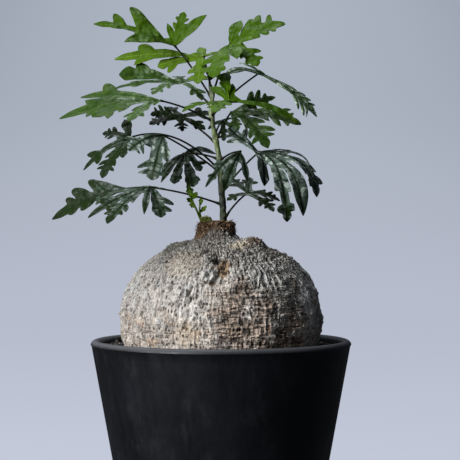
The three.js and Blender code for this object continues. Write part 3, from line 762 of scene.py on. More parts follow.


# Round patches of their own colour: centre, radius, colour and strength. The crease patches under the boss
# and the scar's dark hollow and step lines are painted shade, and the glint is a painted highlight
barkSpots = {
    "shoulder": ((-33, -17, 230), 13, (0.1, 0.105, 0.08), 0.6),
    "knob": ((22.5, -17, 234.5), 6.5, (0.2, 0.14, 0.1), 0.9),
    "knobFoot": ((20, -24, 231), 4.5, (0.12, 0.085, 0.06), 0.7),
    "flake": ((11, -29, 229), 6.5, (0.78, 0.7, 0.55), 0.85),
    "flakeTop": ((15, -22, 232), 5, (0.8, 0.7, 0.54), 0.85),
    "neckFront": ((-3, -14, 238), 8, (0.2, 0.175, 0.155), 0.6),
    "tanTop": ((-25, -43, 219.5), 17, (0.6, 0.52, 0.42), 0.45),
    "tanLow": ((-22, -64, 174), 11, (0.68, 0.53, 0.36), 0.3),
    "boss": ((-8, -59, 211), 5.6, (0.6, 0.6, 0.585), 0.75),
    "bossEye": ((-7, -58, 211), 1.7, (0.12, 0.12, 0.115), 0.8),
    "bossShadowLeft": ((-11, -61, 206), 2.3, (0.07, 0.04, 0.022), 0.85),
    "bossShadowRight": ((-5.5, -61, 205.4), 2.5, (0.1, 0.05, 0.025), 0.85),
    "scar": ((1.8, -50, 216.5), 6.5, (0.3, 0.2, 0.11), 0.9),
    "scarLow": ((1.6, -55.5, 212), 5, (0.3, 0.2, 0.12), 0.9),
    "scarStep": ((3.6, -53, 214.6), 2.2, (0.68, 0.52, 0.32), 0.85),
    "scarStepLow": ((1.6, -56, 211.4), 1.9, (0.6, 0.44, 0.26), 0.85),
    "scarShade": ((2.4, -49, 219), 2.8, (0.02, 0.012, 0.008), 0.95),
    "scarStepShade": ((1.2, -52.5, 216), 2.6, (0.03, 0.016, 0.008), 0.9),
    "scarStepShadeLow": ((2.6, -55.5, 212.4), 2.3, (0.04, 0.022, 0.012), 0.9),
    "scarHollowShade": ((-2.8, -46.5, 220.4), 4.2, (0.014, 0.011, 0.009), 0.97),
    "glint": ((-0.5, -44.5, 224), 2.4, (0.8, 0.79, 0.75), 0.9),
}


def spotMask(tree, place, centre, radius):
    middle = Vector(centre) * mm
    away = addNode(tree, "ShaderNodeVectorMath", {0: place, 1: middle}, operation="DISTANCE").outputs["Value"]
    ragged = timesOf(tree, mathOf(tree, "SUBTRACT", noiseOf(tree, place, 330, 4), 0.5), 1.3 * radius * mm)
    return mapOf(tree, plusOf(tree, away, ragged), radius * mm, 0.55 * radius * mm, soft=True)


# 1 on the thin crests where a noise crosses its middle
def crestOf(tree, vector, scale, width, detail=2):
    away = mathOf(tree, "ABSOLUTE", mathOf(tree, "SUBTRACT", noiseOf(tree, vector, scale, detail), 0.5))
    return mapOf(tree, away, 0.0, width, 1.0, 0.0)


# Bark colours. The left colour is a darker tone painted on the side where the lamp falls, the right colour is
# painted light on the shaded right side and far is painted shade on the far right; the pit and hollow colours
# are painted shade and strand is a painted highlight; the rest are the bark's own colours
barkColours = {
    "low": (0.6, 0.565, 0.52), "high": (0.79, 0.755, 0.71),
    "left": (0.415, 0.39, 0.36), "right": (0.86, 0.85, 0.82), "top": (0.53, 0.52, 0.48),
    "cracked": (0.7, 0.51, 0.38), "far": (0.25, 0.25, 0.25), "slate": (0.44, 0.46, 0.47),
    "stain": (0.5, 0.28, 0.13), "pit": (0.075, 0.055, 0.042), "strand": (0.62, 0.6, 0.57),
    "hollowShade": (0.045, 0.034, 0.026),
}
# Steps of painted shade and highlight by the bark's relief, from dark hollows to pale crests, and colour
# steps of the brown skin, from dark to pale
reliefShadeSteps = greyStops((0.06, 0.08), (0.28, 0.45), (0.48, 0.95), (0.75, 1.45))
brownTones = [(0.34, (0.018, 0.011, 0.007)), (0.47, (0.085, 0.045, 0.024)), (0.58, (0.22, 0.135, 0.075)),
              (0.68, (0.62, 0.5, 0.35))]
# How many of each fine mark stand in a metre of bark
barkScales = {
    "strand": 310, "thread": 820, "crack": 390, "pit": 440, "chip": 520, "grain": 1000, "fibre": 620,
}


def barkMaterial():
    material, tree, shader = newMaterial("greyBark", {"Roughness": 0.85, "Specular IOR Level": 0.25})
    scales = barkScales
    place = objectPlace(tree)
    axes = axesOf(tree, place)
    wrap = attributeOf(tree, "wrap", "Vector")
    names = ("hollowShade", "strand", "cracked", "left", "right", "brown")
    hollowShade, strand, cracked, left, right, brown = [attributeOf(tree, name) for name in names]
    cracked = timesOf(tree, cracked, mapOf(tree, noiseOf(tree, place, 48, 4), 0.38, 0.56, 0.15, 1.0))
    high = mapOf(tree, axes["Z"], 0.2, 0.224)
    low = mapOf(tree, axes["Z"], 0.198, 0.17)
    far = timesOf(tree, mapOf(tree, axes["X"], 0.054, 0.066), mapOf(tree, axes["Z"], 0.215, 0.19))

    # Relief of the skin, 0 to 1: upright strands, fine threads, pits, level cracks and grain
    upright = crestOf(tree, stretched(tree, wrap, (1, 1, 0.24)), scales["strand"], 0.075)
    thread = crestOf(tree, stretched(tree, wrap, (1, 1, 0.4), (3, 1, 2)), scales["thread"], 0.07)
    level = crestOf(tree, stretched(tree, wrap, (0.11, 0.11, 1), (1, 4, 2)), scales["crack"], 0.05, 4)
    pits = mapOf(tree, cellsOf(tree, stretched(tree, wrap, (1, 1, 0.7)), scales["pit"]), 0.42, 0.2)
    pits = timesOf(tree, pits, mapOf(tree, noiseOf(tree, place, 170, 2), 0.4, 0.52),
                   mapOf(tree, upright, 0.0, 1.0, 1.0, 0.35))
    grain = noiseOf(tree, place, scales["grain"], 4, 0.7)
    calm = timesOf(tree, mapOf(tree, high, 0.0, 1.0, 1.0, 0.45), mapOf(tree, cracked, 0.0, 1.0, 1.0, 0.75))
    chips = cellsOf(tree, place, scales["chip"], "DISTANCE_TO_EDGE")
    chips = timesOf(tree, mapOf(tree, chips, 0.16, 0.0), mapOf(tree, high, 0.0, 1.0, 0.1, 0.35))
    relief = plusOf(tree, timesOf(tree, upright, calm, 0.3), timesOf(tree, thread, calm, 0.2),
                    timesOf(tree, grain, 0.8))
    relief = mathOf(tree, "SUBTRACT", relief, chips)
    relief = mathOf(tree, "SUBTRACT", relief, timesOf(tree, pits, 0.4))
    relief = mathOf(tree, "SUBTRACT", relief, timesOf(tree, level, mapOf(tree, cracked, 0.0, 1.0, 0.06, 0.5)))

    # Colour by region
    looks = barkColours
    clouds = mapOf(tree, mottleOf(tree, place, 34, 210, 0.35), 0.4, 0.6)
    colour = mixOf(tree, clouds, looks["low"], looks["high"])
    # Painted light and shade by side: the left side, where the lamp falls, toned darker, the shaded right
    # side painted lighter, and the far right painted dark
    leftShare = timesOf(tree, left, mapOf(tree, axes["Z"], 0.172, 0.195, 0.6, 0.95))
    colour = mixOf(tree, leftShare, colour, looks["left"])
    colour = mixOf(tree, timesOf(tree, right, 0.8), colour, looks["right"])
    slate = mapOf(tree, noiseOf(tree, stretched(tree, place, (1, 1, 0.6), (2, 3, 4)), 70, 3), 0.53, 0.62)
    colour = mixOf(tree, timesOf(tree, slate, 0.6), colour, looks["slate"])
    colour = mixOf(tree, timesOf(tree, cracked, 0.75), colour, looks["cracked"])
    colour = mixOf(tree, timesOf(tree, high, 0.55), colour, looks["top"])
    colour = mixOf(tree, timesOf(tree, far, 0.8), colour, looks["far"])
    stains = noiseOf(tree, stretched(tree, place, (1, 1, 1.5), (3, 1, 2)), 75, 5, 0.62)
    colour = mixOf(tree, timesOf(tree, mapOf(tree, stains, 0.53, 0.62), low, 0.6), colour, looks["stain"])

    # Painted shade in the hollows and pits, and painted highlight on the crests and strands
    colour = mixOf(tree, 1.0, colour, rampOf(tree, relief, reliefShadeSteps), "MULTIPLY")
    colour = mixOf(tree, timesOf(tree, pits, 0.75), colour, looks["pit"])
    colour = mixOf(tree, timesOf(tree, strand, 0.2), colour, looks["strand"])
    colour = mixOf(tree, timesOf(tree, hollowShade, 0.7), colour, looks["hollowShade"])

    # Brown skin of the neck, and the round patches, each with painted shade by the relief
    fibres = noiseOf(tree, stretched(tree, place, (1, 1, 0.3), (1, 2, 3)), scales["fibre"], 4, 0.65)
    colour = mixOf(tree, brown, colour, rampOf(tree, fibres, brownTones))
    shade = mapOf(tree, relief, 0.1, 0.55, 0.45, 1.1)
    for centre, radius, tint, strength in barkSpots.values():
        own = mixOf(tree, 1.0, tint, shade, "MULTIPLY")
        colour = mixOf(tree, timesOf(tree, spotMask(tree, place, centre, radius), strength), colour, own)
    tree.links.new(colour, shader.inputs["Base Color"])
    tree.links.new(bumpOf(tree, relief, 1.1, 1.0), shader.inputs["Normal"])
    return material


finishPiece(makeCaudex(), barkMaterial(), "bark", "caudex")
print("caudex ready")


# Torn fibres on the neck's rim and a mound of moss at its left

rimFibres = {
    "count": 560, "centre": (-3.5, 0), "rimRadius": 11.6, "rimZ": 246.4, "reachDown": 7,
    "shortest": 0.8, "longest": 3.3, "radius": 0.16, "seed": 5,
}
moss = {
    "count": 700, "centre": (-10.2, -6.4, 246.4), "reach": (3.7, 4.2, 3.5),
    "length": 1.1, "radius": 0.26, "seed": 8,
}


# Thin bent spike from a root, as points and faces
def spike(root, ahead, length, radius, draw, first):
    bend = Vector([draw.uniform(-1, 1) for _ in range(3)]) * 0.35
    line = [root, root + (ahead + 0.4 * bend) * length * 0.5, root + (ahead + bend) * length]
    return barShape(line, [radius, 0.8 * radius, 0.25 * radius], 4, first)


# Root, direction and length of a fibre: most stand near the rim, and a few on the neck's top
def fibreStart(draw):
    angle = draw.uniform(0, 2 * math.pi)
    down = draw.random() ** 1.6
    radius = rimFibres["rimRadius"] + 1.4 * down - (2.6 * draw.random() if down < 0.15 else 0)
    outward = Vector((math.cos(angle), math.sin(angle), 0))
    height = rimFibres["rimZ"] - rimFibres["reachDown"] * down
    root = Vector((*rimFibres["centre"], height)) + radius * outward
    ahead = 0.5 * outward + Vector((0, 0, draw.uniform(-0.7, 1.0)))
    ahead += 0.6 * Vector((-outward.y, outward.x, 0)) * draw.uniform(-1, 1)
    return root, ahead.normalized(), draw.uniform(rimFibres["shortest"], rimFibres["longest"])


# The same for a sprig of moss, on the upper half of its mound
def mossStart(draw):
    ahead = Vector((draw.uniform(-1, 1), draw.uniform(-1, 1), draw.uniform(0.0, 1))).normalized()
    reach = Vector([ahead[i] * moss["reach"][i] for i in range(3)]) * draw.uniform(0.55, 1)
    return Vector(moss["centre"]) + reach, ahead, moss["length"]


def makeTuft(name, shape, startOf):
    draw = random.Random(shape["seed"])
    points, faces, tones = [], [], []
    for _ in range(shape["count"]):
        root, ahead, length = startOf(draw)
        tone = draw.random()
        barPoints, barFaces = spike(root, ahead, length, shape["radius"], draw, len(points))
        points += barPoints
        faces += barFaces
        tones += [tone] * len(barPoints)
    return meshPiece(name, points, faces, {"tone": tones})


def tonedMaterial(name, stops):
    material, tree, shader = newMaterial(name, {"Roughness": 0.9, "Specular IOR Level": 0.2})
    colour = rampOf(tree, attributeOf(tree, "tone"), stops)
    tree.links.new(colour, shader.inputs["Base Color"])
    return material


fibreStops = [(0.0, (0.02, 0.012, 0.008)), (0.4, (0.1, 0.05, 0.025)), (0.75, (0.24, 0.145, 0.08)),
              (1.0, (0.55, 0.45, 0.3))]
mossStops = [(0.0, (0.035, 0.055, 0.008)), (0.5, (0.16, 0.2, 0.035)), (1.0, (0.42, 0.44, 0.16))]
finishPiece(makeTuft("rimFibres", rimFibres, fibreStart), tonedMaterial("tornFibre", fibreStops), "bark")
finishPiece(makeTuft("mossTuft", moss, mossStart), tonedMaterial("greenMoss", mossStops), "leaf_young")
print("neck fibres and moss ready")


# Grit in the pot

grit = {
    "level": 159, "unevenness": 0.7, "waveSize": 3, "rings": 14, "steps": 180,
    "floorRound": 3.2, "wallRow": 80, "edgeDrop": 0.6,
    "grains": 1700, "smallest": 0.8, "largest": 2.1, "halfSize": 0.62, "cornerCut": 0.62,
    "heapShare": 0.2, "heapLift": 0.9, "innerGap": 1.6, "outerGap": 1.2, "seed": 11,
}


def gritEdge(z):
    return innerWall(z) - clearance


def makeGritBed():
    level = grit["level"]
    floor = potShape["floor"] + clearance
    corner = floor + grit["floorRound"]
    cavity = [(r + clearance, z - clearance) for r, z in rootOutline]
    edge = cavity[-1][0]
    profile = [(0, floor), (gritEdge(floor) - grit["floorRound"], floor), (gritEdge(corner), corner)]
    profile.append((gritEdge(grit["wallRow"]), grit["wallRow"]))
    for i in range(grit["rings"]):
        profile.append((blendOf(gritEdge(level), edge, i / grit["rings"]), level))
    profile += [(edge, level - grit["edgeDrop"])] + cavity[-2:0:-1] + [(0, cavity[0][1])]
    bed = turnedPiece("gritBed", profile, grit["steps"])
    for vertex in bed.data.vertices:
        radius = math.hypot(vertex.co.x, vertex.co.y) / mm
        onTop = abs(vertex.co.z / mm - level) < 0.01
        if onTop and edge + 0.5 < radius < gritEdge(level) - 0.5:
            vertex.co.z += grit["unevenness"] * noise.noise(vertex.co / (grit["waveSize"] * mm)) * mm
    shadeRound(bed, 30)
    return bed


# Corners and sides of one stone, a cube with its corners cut off
def stoneShape():
    deselectAll()
    bpy.ops.mesh.primitive_cube_add(size=2)
    stone = bpy.context.object
    startEdit(stone)
    bpy.ops.mesh.bevel(offset=grit["cornerCut"], segments=1)
    bpy.ops.object.mode_set(mode="OBJECT")
    corners = [vertex.co.copy() for vertex in stone.data.vertices]
    sides = [tuple(face.vertices) for face in stone.data.polygons]
    bpy.data.objects.remove(stone)
    return corners, sides


def makeGrains():
    draw = random.Random(grit["seed"])
    corners, sides = stoneShape()
    inner = rootOutline[-1][0] + grit["innerGap"]
    outer = innerWall(grit["level"]) - grit["outerGap"]
    points, faces, tones = [], [], []
    for _ in range(grit["grains"]):
        radius = math.sqrt(draw.uniform(inner ** 2, outer ** 2))
        angle = draw.uniform(0, 2 * math.pi)
        size = blendOf(grit["smallest"], grit["largest"], draw.random() ** 2.2)
        lift = draw.uniform(-0.2, 0.9) * size
        lift += grit["heapLift"] if draw.random() < grit["heapShare"] else 0
        middle = Vector((radius * math.cos(angle), radius * math.sin(angle), grit["level"] + lift))
        turn = Vector([draw.uniform(-1, 1) for _ in range(3)]).to_track_quat("Z", "Y").to_matrix()
        stretch = [draw.uniform(0.6, 1.15) for _ in range(3)]
        tone = draw.random()
        first = len(points)
        for corner in corners:
            shaped = Vector([corner[i] * stretch[i] * draw.uniform(0.82, 1.12) for i in range(3)])
            points.append(middle + turn @ shaped * size * grit["halfSize"])
            tones.append(tone)
        faces += [tuple(first + i for i in side) for side in sides]
    piece = meshPiece("gritGrains", points, faces, {"tone": tones})
    shadeRound(piece, 25)
    return piece


# Colour steps of the stones, of the bed under them and of the fine specks on both
gritLooks = {
    "stones": [
        (0.0, (0.012, 0.012, 0.014)), (0.45, (0.03, 0.03, 0.032)), (0.72, (0.075, 0.07, 0.068)),
        (0.9, (0.15, 0.13, 0.11)), (0.95, (0.26, 0.13, 0.05)), (1.0, (0.33, 0.27, 0.2)),
    ],
    "bed": [(0.3, (0.008, 0.008, 0.009)), (0.7, (0.04, 0.037, 0.035))],
    "specks": greyStops((0.3, 0.5), (0.7, 1.3)),
    "bumpHeight": 0.25,
}


def gritMaterial(name, toned):
    material, tree, shader = newMaterial(name, {"Roughness": 0.9, "Specular IOR Level": 0.25})
    specks = mottleOf(tree, objectPlace(tree), 300, 1800, 0.5)
    if toned:
        base = rampOf(tree, attributeOf(tree, "tone"), gritLooks["stones"])
    else:
        base = rampOf(tree, specks, gritLooks["bed"])
    colour = mixOf(tree, 0.6, base, rampOf(tree, specks, gritLooks["specks"]), "MULTIPLY")
    tree.links.new(colour, shader.inputs["Base Color"])
    tree.links.new(bumpOf(tree, specks, gritLooks["bumpHeight"], 0.7), shader.inputs["Normal"])
    return material


finishPiece(makeGritBed(), gritMaterial("gritDust", False), "soil", "soil")
finishPiece(makeGrains(), gritMaterial("gritStones", True), "soil")
print("grit ready")


# Stem

stemShape = {
    "baseRadius": 2.3, "tipRadius": 1.3, "sides": 28, "steps": 170,
    "swell": 0.3, "swellReach": 2.2,  # round each leaf's node
    "bumpShare": 0.16, "bumpSize": 1.1, "bumpStretch": 0.35,
}
stemPoints = [  # middle line, from inside the neck to the tip
    (1.7, 0, 241), (1.2, 0, 258), (-0.2, 0, 274), (-0.9, 0, 288), (-2.6, 0, 298), (-5.2, 0, 311),
    (-6.7, 0, 323), (-6.2, 0, 334), (-7.5, 1, 341),
]
stemLine = smoothLine(stemPoints, stemShape["steps"])

# Leaves: joint of petiole and blade, height of its node on the stem, colour, and lobes in turn
# round the joint. A leaf's own web, room, arch, fullness or bow stands in for the common one below.
# A lobe is its tip, the rise of its rib, its form, the reach of its fingers on the side of the
# lobe listed before it and of the one listed after it, and the turn of its blade about the rib in
# degrees, where it has one.
leaves = {
    "leaf_a": {"joint": (-32, 10, 369), "node": 333, "web": 0.28, "room": 0.6, "colour": "bright", "lobes": [
        (-10, 10, 391, 2, "lance", 1.2, 0.9), (-26, 17, 394, 2, "mid", 0.9, 0.8),
        (-38, 17, 386, 1, "lance", 0.5, 0.5), (-89, 6, 384, 4, "wing", 1, 0.1),
        (-66, -14, 369, 4, "lance", 1.2, 1.1)]},
    "leaf_b": {"joint": (-12, 6, 361), "node": 337, "colour": "young", "lobes": [
        (1, 16, 365, 1, "lance", 1, 1), (-15, 20, 369, 1, "ovate", 1, 1),
        (-76, 28, 362, 3, "fork", 0.5, 1.1), (-45, 20, 356, 2, "short", 0.8, 0.8),
        (-16, -9, 341, 2, "oak", 1, 1)]},
    "leaf_c": {"joint": (6, 8, 370), "node": 335, "room": 0.65, "colour": "bright", "lobes": [
        (-5, -18, 344, 4, "oak", 1.2, 0.5), (11, -14, 358, 2, "ovate", 0.6, 0.6),
        (25, -8, 353, 3, "oak", 0.6, 1), (45, 12, 385, 3, "fan", 0.3, 1),
        (14, 20, 388, 2, "ovate", 1, 1)]},
    "leaf_d": {"joint": (27, 14, 351), "node": 322, "fullness": 1.35, "colour": "mixed", "lobes": [
        (2, 2, 348, 3, "lance", 0.8, 0.8), (67, 12, 320, 4, "fringe", 1, 0.4),
        (13, 26, 358, 2, "lance", 0.9, 0.9)]},
    "leaf_e": {"joint": (6, -20, 327), "node": 320, "fullness": 1.25, "colour": "bright", "lobes": [
        (-26, -30, 320, 3, "mid", 1, 1), (-4, -46, 318, 4, "mid", 1, 1),
        (54, -22, 312, 5, "lance", 0.8, 0.8), (8, -6, 341, 1, "lance", 1, 0.8),
        (2, -4, 349, 2, "oak", 0.7, 1), (-7, -4, 339, 2, "lance", 1, 1)]},
    "leaf_f": {"joint": (7, -2, 322), "node": 304, "colour": "mixed", "lobes": [
        (12, -14, 309, 1, "mid", 1.1, 0.8), (32, -24, 296, 5, "feather", 1.1, 1.1),
        (55, -8, 313, 3, "feather", 1, 1), (38, 16, 334, 1, "comb", 0.4, 1.2, 50)]},
    "leaf_g": {"joint": (-27, 16, 344), "node": 327, "colour": "mixed", "lobes": [
        (-9, 30, 348, 2, "ovate", 1, 1), (-32, 32, 349, 2, "short", 1, 1),
        (-72, 18, 350, 2, "short", 0.55, 0.6, -30), (-76, 12, 339, 3, "fork", 0.6, 0.7),
        (-48, 4, 335, 3, "oak", 1.1, 1.1), (-13, 4, 331, 3, "short", 1.2, 1.2)]},
    "leaf_h": {"joint": (-41, -14, 329), "node": 317, "web": 0.32, "fullness": 1.22,
               "colour": "mixed", "lobes": [
        (-98, 8, 333, 3, "fork", 1, 0.6, -20), (-111, -8, 317, 4, "fork", 0.6, 0.7, -30),
        (-87, -26, 317, 4, "oak", 1, 1, -20), (-61, -36, 313, 3, "oak", 1.1, 1.2),
        (-45, -26, 325, 1, "ovate", 1, 1.2)]},
    "leaf_i": {"joint": (-29, 16, 320), "node": 302, "colour": "dark", "lobes": [
        (-7, 26, 323, 1, "short", 1, 1), (-38, 28, 328, 1, "short", 1, 1),
        (-50, 20, 322, 2, "feather", 1.2, 1, -45), (-50, 6, 314, 1, "mid", 0.8, 0.8),
        (-27, 6, 309, 1, "mid", 1.2, 1.2), (-11, 12, 311, 1, "short", 1, 1)]},
    "leaf_j": {"joint": (1, 20, 318), "node": 307, "colour": "dark", "lobes": [
        (-9, 24, 312, 1, "short", 1, 1), (2, 12, 303, 1, "mid", 1, 1), (12, 10, 308, 1, "lance", 1, 1),
        (10, 28, 319, 1, "lance", 1, 1)]},
    "leaf_k": {"joint": (-63, 4, 305), "node": 283, "bow": 11, "web": 0.36, "colour": "dark", "lobes": [
        (-68, 16, 318, 1, "ovate", 1.5, 1.5), (-83, 12, 308, 1, "mid", 1.2, 1.1),
        (-95, -2, 282, 4, "fork", 1.2, 1.2), (-81, -16, 276, 3, "feather", 1, 1),
        (-67, -14, 290, 2, "short", 1, 1)]},
    "leaf_l": {"joint": (-39, -18, 305), "node": 281, "web": 0.52, "room": 0.6, "colour": "dark", "lobes": [
        (-62, -28, 294, 3, "oak", 1.3, 1.2, 15), (-46, -34, 274, 3, "oak", 1, 1),
        (-36, -34, 286, 2, "lance", 1.3, 1.3)]},
    "leaf_m": {"joint": (-26, 9, 294), "node": 290, "web": 0.4, "room": 0.4, "colour": "dark", "lobes": [
        (-41, -4, 279, 2, "lance", 1, 1), (-41, -12, 273, 2, "slim", 1, 1),
        (-32, -16, 272, 2, "mid", 0.9, 1), (-19, -14, 270, 2, "oak", 0.8, 1),
        (-14, -4, 281, 2, "short", 1, 1), (-4, 20, 294, 3, "ovate", 1.4, 1.4)]},
    "leaf_n": {"joint": (13, -20, 294), "node": 289, "web": 0.38, "fullness": 0.95,
               "colour": "dark", "lobes": [
        (-10, -44, 269, 3, "taper", 1.2, 1), (2, -46, 266, 3, "lance", 1.3, 1.3),
        (18, -32, 273, 2, "lance", 1, 1)]},
    "leaf_o": {"joint": (26, -12, 294), "node": 268, "web": 0.42, "arch": 0.9, "fullness": 1.02,
               "colour": "dark", "lobes": [
        (5, -2, 311, 3, "oak", 1.1, 1.1, -35), (29, -36, 270, 3, "ovate", 1.2, 1.2, -30),
        (44, -44, 246, 9, "trident", 1, 1), (55, -38, 250, 9, "lance", 0.9, 0.9),
        (65, -22, 263, 8, "mid", 1, 1), (62, -4, 282, 5, "lance", 1.2, 1.2),
        (49, 8, 295, 2, "slim", 1, 1)]},
    "leaf_p": {"joint": (18, -4, 266), "node": 250, "colour": "dark", "lobes": [
        (4, -10, 261, 1, "short", 1, 1), (36, -16, 253, 2, "mid", 1, 1),
        (41, 2, 261, 2, "feather", 0.9, 0.9), (20, 14, 277, 1, "short", 1, 1),
        (7, 10, 276, 1, "oak", 1, 1)]},
    "leaf_q": {"joint": (-49, -10, 270), "node": 259, "web": 0.3, "colour": "dark", "lobes": [
        (-38, 0, 268, 1, "ovate", 1.2, 1.2), (-117, 0, 248, 6, "comb", 1, 0.5, -40),
        (-90, -22, 249, 3, "fork", 0.8, 0.8, -30), (-76, -36, 245, 4, "feather", 1, 1),
        (-51, -40, 251, 3, "slim", 1, 1), (-40, -34, 249, 3, "oak", 0.8, 1)]},
}


def stemAt(z):
    place = min(range(len(stemLine)), key=lambda i: abs(stemLine[i].z - z))
    place = min(max(place, 1), len(stemLine) - 2)
    along = (stemLine[place + 1] - stemLine[place - 1]).normalized()
    share = place / stemShape["steps"]
    return stemLine[place], along, blendOf(stemShape["baseRadius"], stemShape["tipRadius"], share)


def makeStem():
    shape = stemShape
    nodes = [leaf["node"] for leaf in leaves.values()]
    radii = []
    for i, place in enumerate(stemLine):
        near = sum(math.exp(-((place.z - z) / shape["swellReach"]) ** 2) for z in nodes)
        radius = blendOf(shape["baseRadius"], shape["tipRadius"], i / shape["steps"])
        radii.append(radius + shape["swell"] * near)
    points, faces = barShape(stemLine, radii, shape["sides"])
    bumpy = []
    for i, point in enumerate(points):
        middle = stemLine[i // shape["sides"]]
        place = Vector((point.x, point.y, point.z * shape["bumpStretch"])) / shape["bumpSize"]
        bumpy.append(middle + (point - middle) * (1 + shape["bumpShare"] * noise.noise(place)))
    piece = meshPiece("stemBar", bumpy, faces)
    shadeRound(piece, 60)
    return piece


stemLooks = {
    "green": [(0.35, (0.05, 0.085, 0.03)), (0.6, (0.14, 0.2, 0.06))],
    "streak": (0.4, 0.43, 0.3), "fleck": (0.045, 0.07, 0.022),
    "footDark": (0.009, 0.015, 0.008), "footPale": (0.13, 0.16, 0.1),
    "footFrom": 292, "footTo": 268, "bumpHeight": 0.15,
}


def stemMaterial():
    looks = stemLooks
    material, tree, shader = newMaterial("paleGreenStem", {"Roughness": 0.55, "Specular IOR Level": 0.35})
    place = objectPlace(tree)
    streaks = mottleOf(tree, stretched(tree, place, (1, 1, 0.22)), 420, 1600, 0.4)
    green = rampOf(tree, noiseOf(tree, place, 130, 3), looks["green"])
    colour = mixOf(tree, rampOf(tree, streaks, greyStops((0.46, 0), (0.62, 1))), green, looks["streak"])
    flecks = noiseOf(tree, stretched(tree, place, (1, 1, 0.4), (1, 3, 2)), 430, 3, 0.6)
    colour = mixOf(tree, mapOf(tree, flecks, 0.52, 0.4, 0.0, 0.85), colour, looks["fleck"])
    height = axesOf(tree, place)["Z"]
    foot = mapOf(tree, height, looks["footFrom"] * mm, looks["footTo"] * mm, 0.0, 0.95)
    mottled = mixOf(tree, mapOf(tree, flecks, 0.5, 0.64), looks["footDark"], looks["footPale"])
    colour = mixOf(tree, foot, colour, mottled)
    tree.links.new(colour, shader.inputs["Base Color"])
    tree.links.new(bumpOf(tree, streaks, looks["bumpHeight"], 0.6), shader.inputs["Normal"])
    return material


finishPiece(makeStem(), stemMaterial(), "stem", "stem")
print("stem ready")


# Leaves

# Fingers of a lobe as [place along its rib, half-width, reach], with the half-widths of its waist
# and end, and how far its edge leans to the tip. All but the lean are shares of its length.
lobeForms = {
    "feather": {"fingers": [(0.13, 0.085, 0.26), (0.38, 0.09, 0.27), (0.62, 0.08, 0.19)],
                "waist": 0.085, "end": 0.085, "lean": 0.8},
    "oak": {"fingers": [(0.22, 0.14, 0.33), (0.62, 0.12, 0.26)], "waist": 0.13, "end": 0.12, "lean": 0.6},
    "mid": {"fingers": [(0.27, 0.12, 0.28), (0.6, 0.1, 0.2)], "waist": 0.1, "end": 0.1, "lean": 0.75},
    "short": {"fingers": [(0.4, 0.17, 0.28)], "waist": 0.11, "end": 0.13, "lean": 0.6},
    "wing": {"fingers": [(0.16, 0.13, 0.6), (0.56, 0.1, 0.18)], "waist": 0.045, "end": 0.05, "lean": 0.7},
    "fan": {"fingers": [(0.1, 0.11, 0.44), (0.33, 0.1, 0.42), (0.56, 0.09, 0.32)],
            "waist": 0.12, "end": 0.06, "lean": 0.45},
    "comb": {"fingers": [(0.15, 0.1, 0.2), (0.4, 0.1, 0.17), (0.64, 0.075, 0.11)],
             "waist": 0.055, "end": 0.045, "lean": 0.9},
    "fringe": {"fingers": [(0.3, 0.07, 0.3), (0.46, 0.065, 0.32), (0.62, 0.06, 0.26)],
               "waist": 0.1, "end": 0.045, "lean": 0.9},
    "trident": {"fingers": [(0.24, 0.19, 0.14), (0.74, 0.08, 0.12)],
                "waist": 0.05, "end": 0.055, "lean": 0.5},
    "fork": {"fingers": [(0.4, 0.14, 0.17)], "waist": 0.055, "end": 0.045, "lean": 0.8},
    "taper": {"fingers": [(0.12, 0.16, 0.13), (0.6, 0.08, 0.08)], "waist": 0.05, "end": 0.035, "lean": 1.0},
    "lance": {"fingers": [], "waist": 0.08, "end": 0.12, "lean": 0.6},
    "slim": {"fingers": [], "waist": 0.04, "end": 0.065, "lean": 0.7},
    "ovate": {"fingers": [], "waist": 0.13, "end": 0.2, "lean": 0.45},
}

bladeShape = {
    "web": 0.32, "webPull": 0.94, "webBlend": 0.1, "webRows": 9,
    "spread": 0.92, "fullness": 1.14, "fold": 0.18, "droop": 0.5, "room": 0.5, "arch": 0.5, "puff": 0.1,
    "thick": 0.34, "rimThick": 0.2, "ribRise": 0.42, "ribReach": 0.55, "sideRise": 0.16, "sideReach": 0.6,
    "ribFadeFrom": 20, "ribFadeTo": 60, "unevenness": 0.13, "waveHeight": 0.7, "waveSize": 13,
    "fineWaveShare": 0.35, "fineWaveSize": 4.5, "calmReach": 14, "fingerRows": 12,
    "rows": (0.03, 0.07, 0.12, 0.2, 0.3, 0.4, 0.5, 0.6, 0.7, 0.76, 0.82, 0.87, 0.91, 0.945, 0.97, 0.985),
    "lastRow": 0.995,
}
petioleShape = {
    "midRadius": 0.72, "topRadius": 0.62, "bow": 1.5, "sides": 12, "steps": 26,
    "inStem": 0.4, "inBlade": 0.8, "baseSwell": 0.53, "baseReach": 2.6, "topSwell": 0.28, "topReach": 2.2,
}
noVein = 9.0  # distance from a vein that is too far to show one


# Rib of a lobe from the joint to its tip, with its place and direction at a share of its length
def ribOf(joint, tip, rise, arch):
    middle = joint.lerp(tip, arch)
    middle.z = (joint.z + tip.z) / 2 + 2 * rise
    steps = 60

    def spot(u):
        return joint * (1 - u) ** 2 + middle * 2 * u * (1 - u) + tip * u * u

    lengths = [0.0]
    for i in range(steps):
        lengths.append(lengths[-1] + (spot((i + 1) / steps) - spot(i / steps)).length)

    def turnOf(t):
        goal = min(1.0, max(0.0, t)) * lengths[-1]
        k = 0
        while k < steps - 1 and lengths[k + 1] < goal:
            k += 1
        return (k + (goal - lengths[k]) / (lengths[k + 1] - lengths[k])) / steps

    def place(t):
        return spot(turnOf(t))

    def along(t):
        u = turnOf(t)
        return ((middle - joint) * (1 - u) + (tip - middle) * u).normalized()

    return {"place": place, "along": along, "length": lengths[-1]}


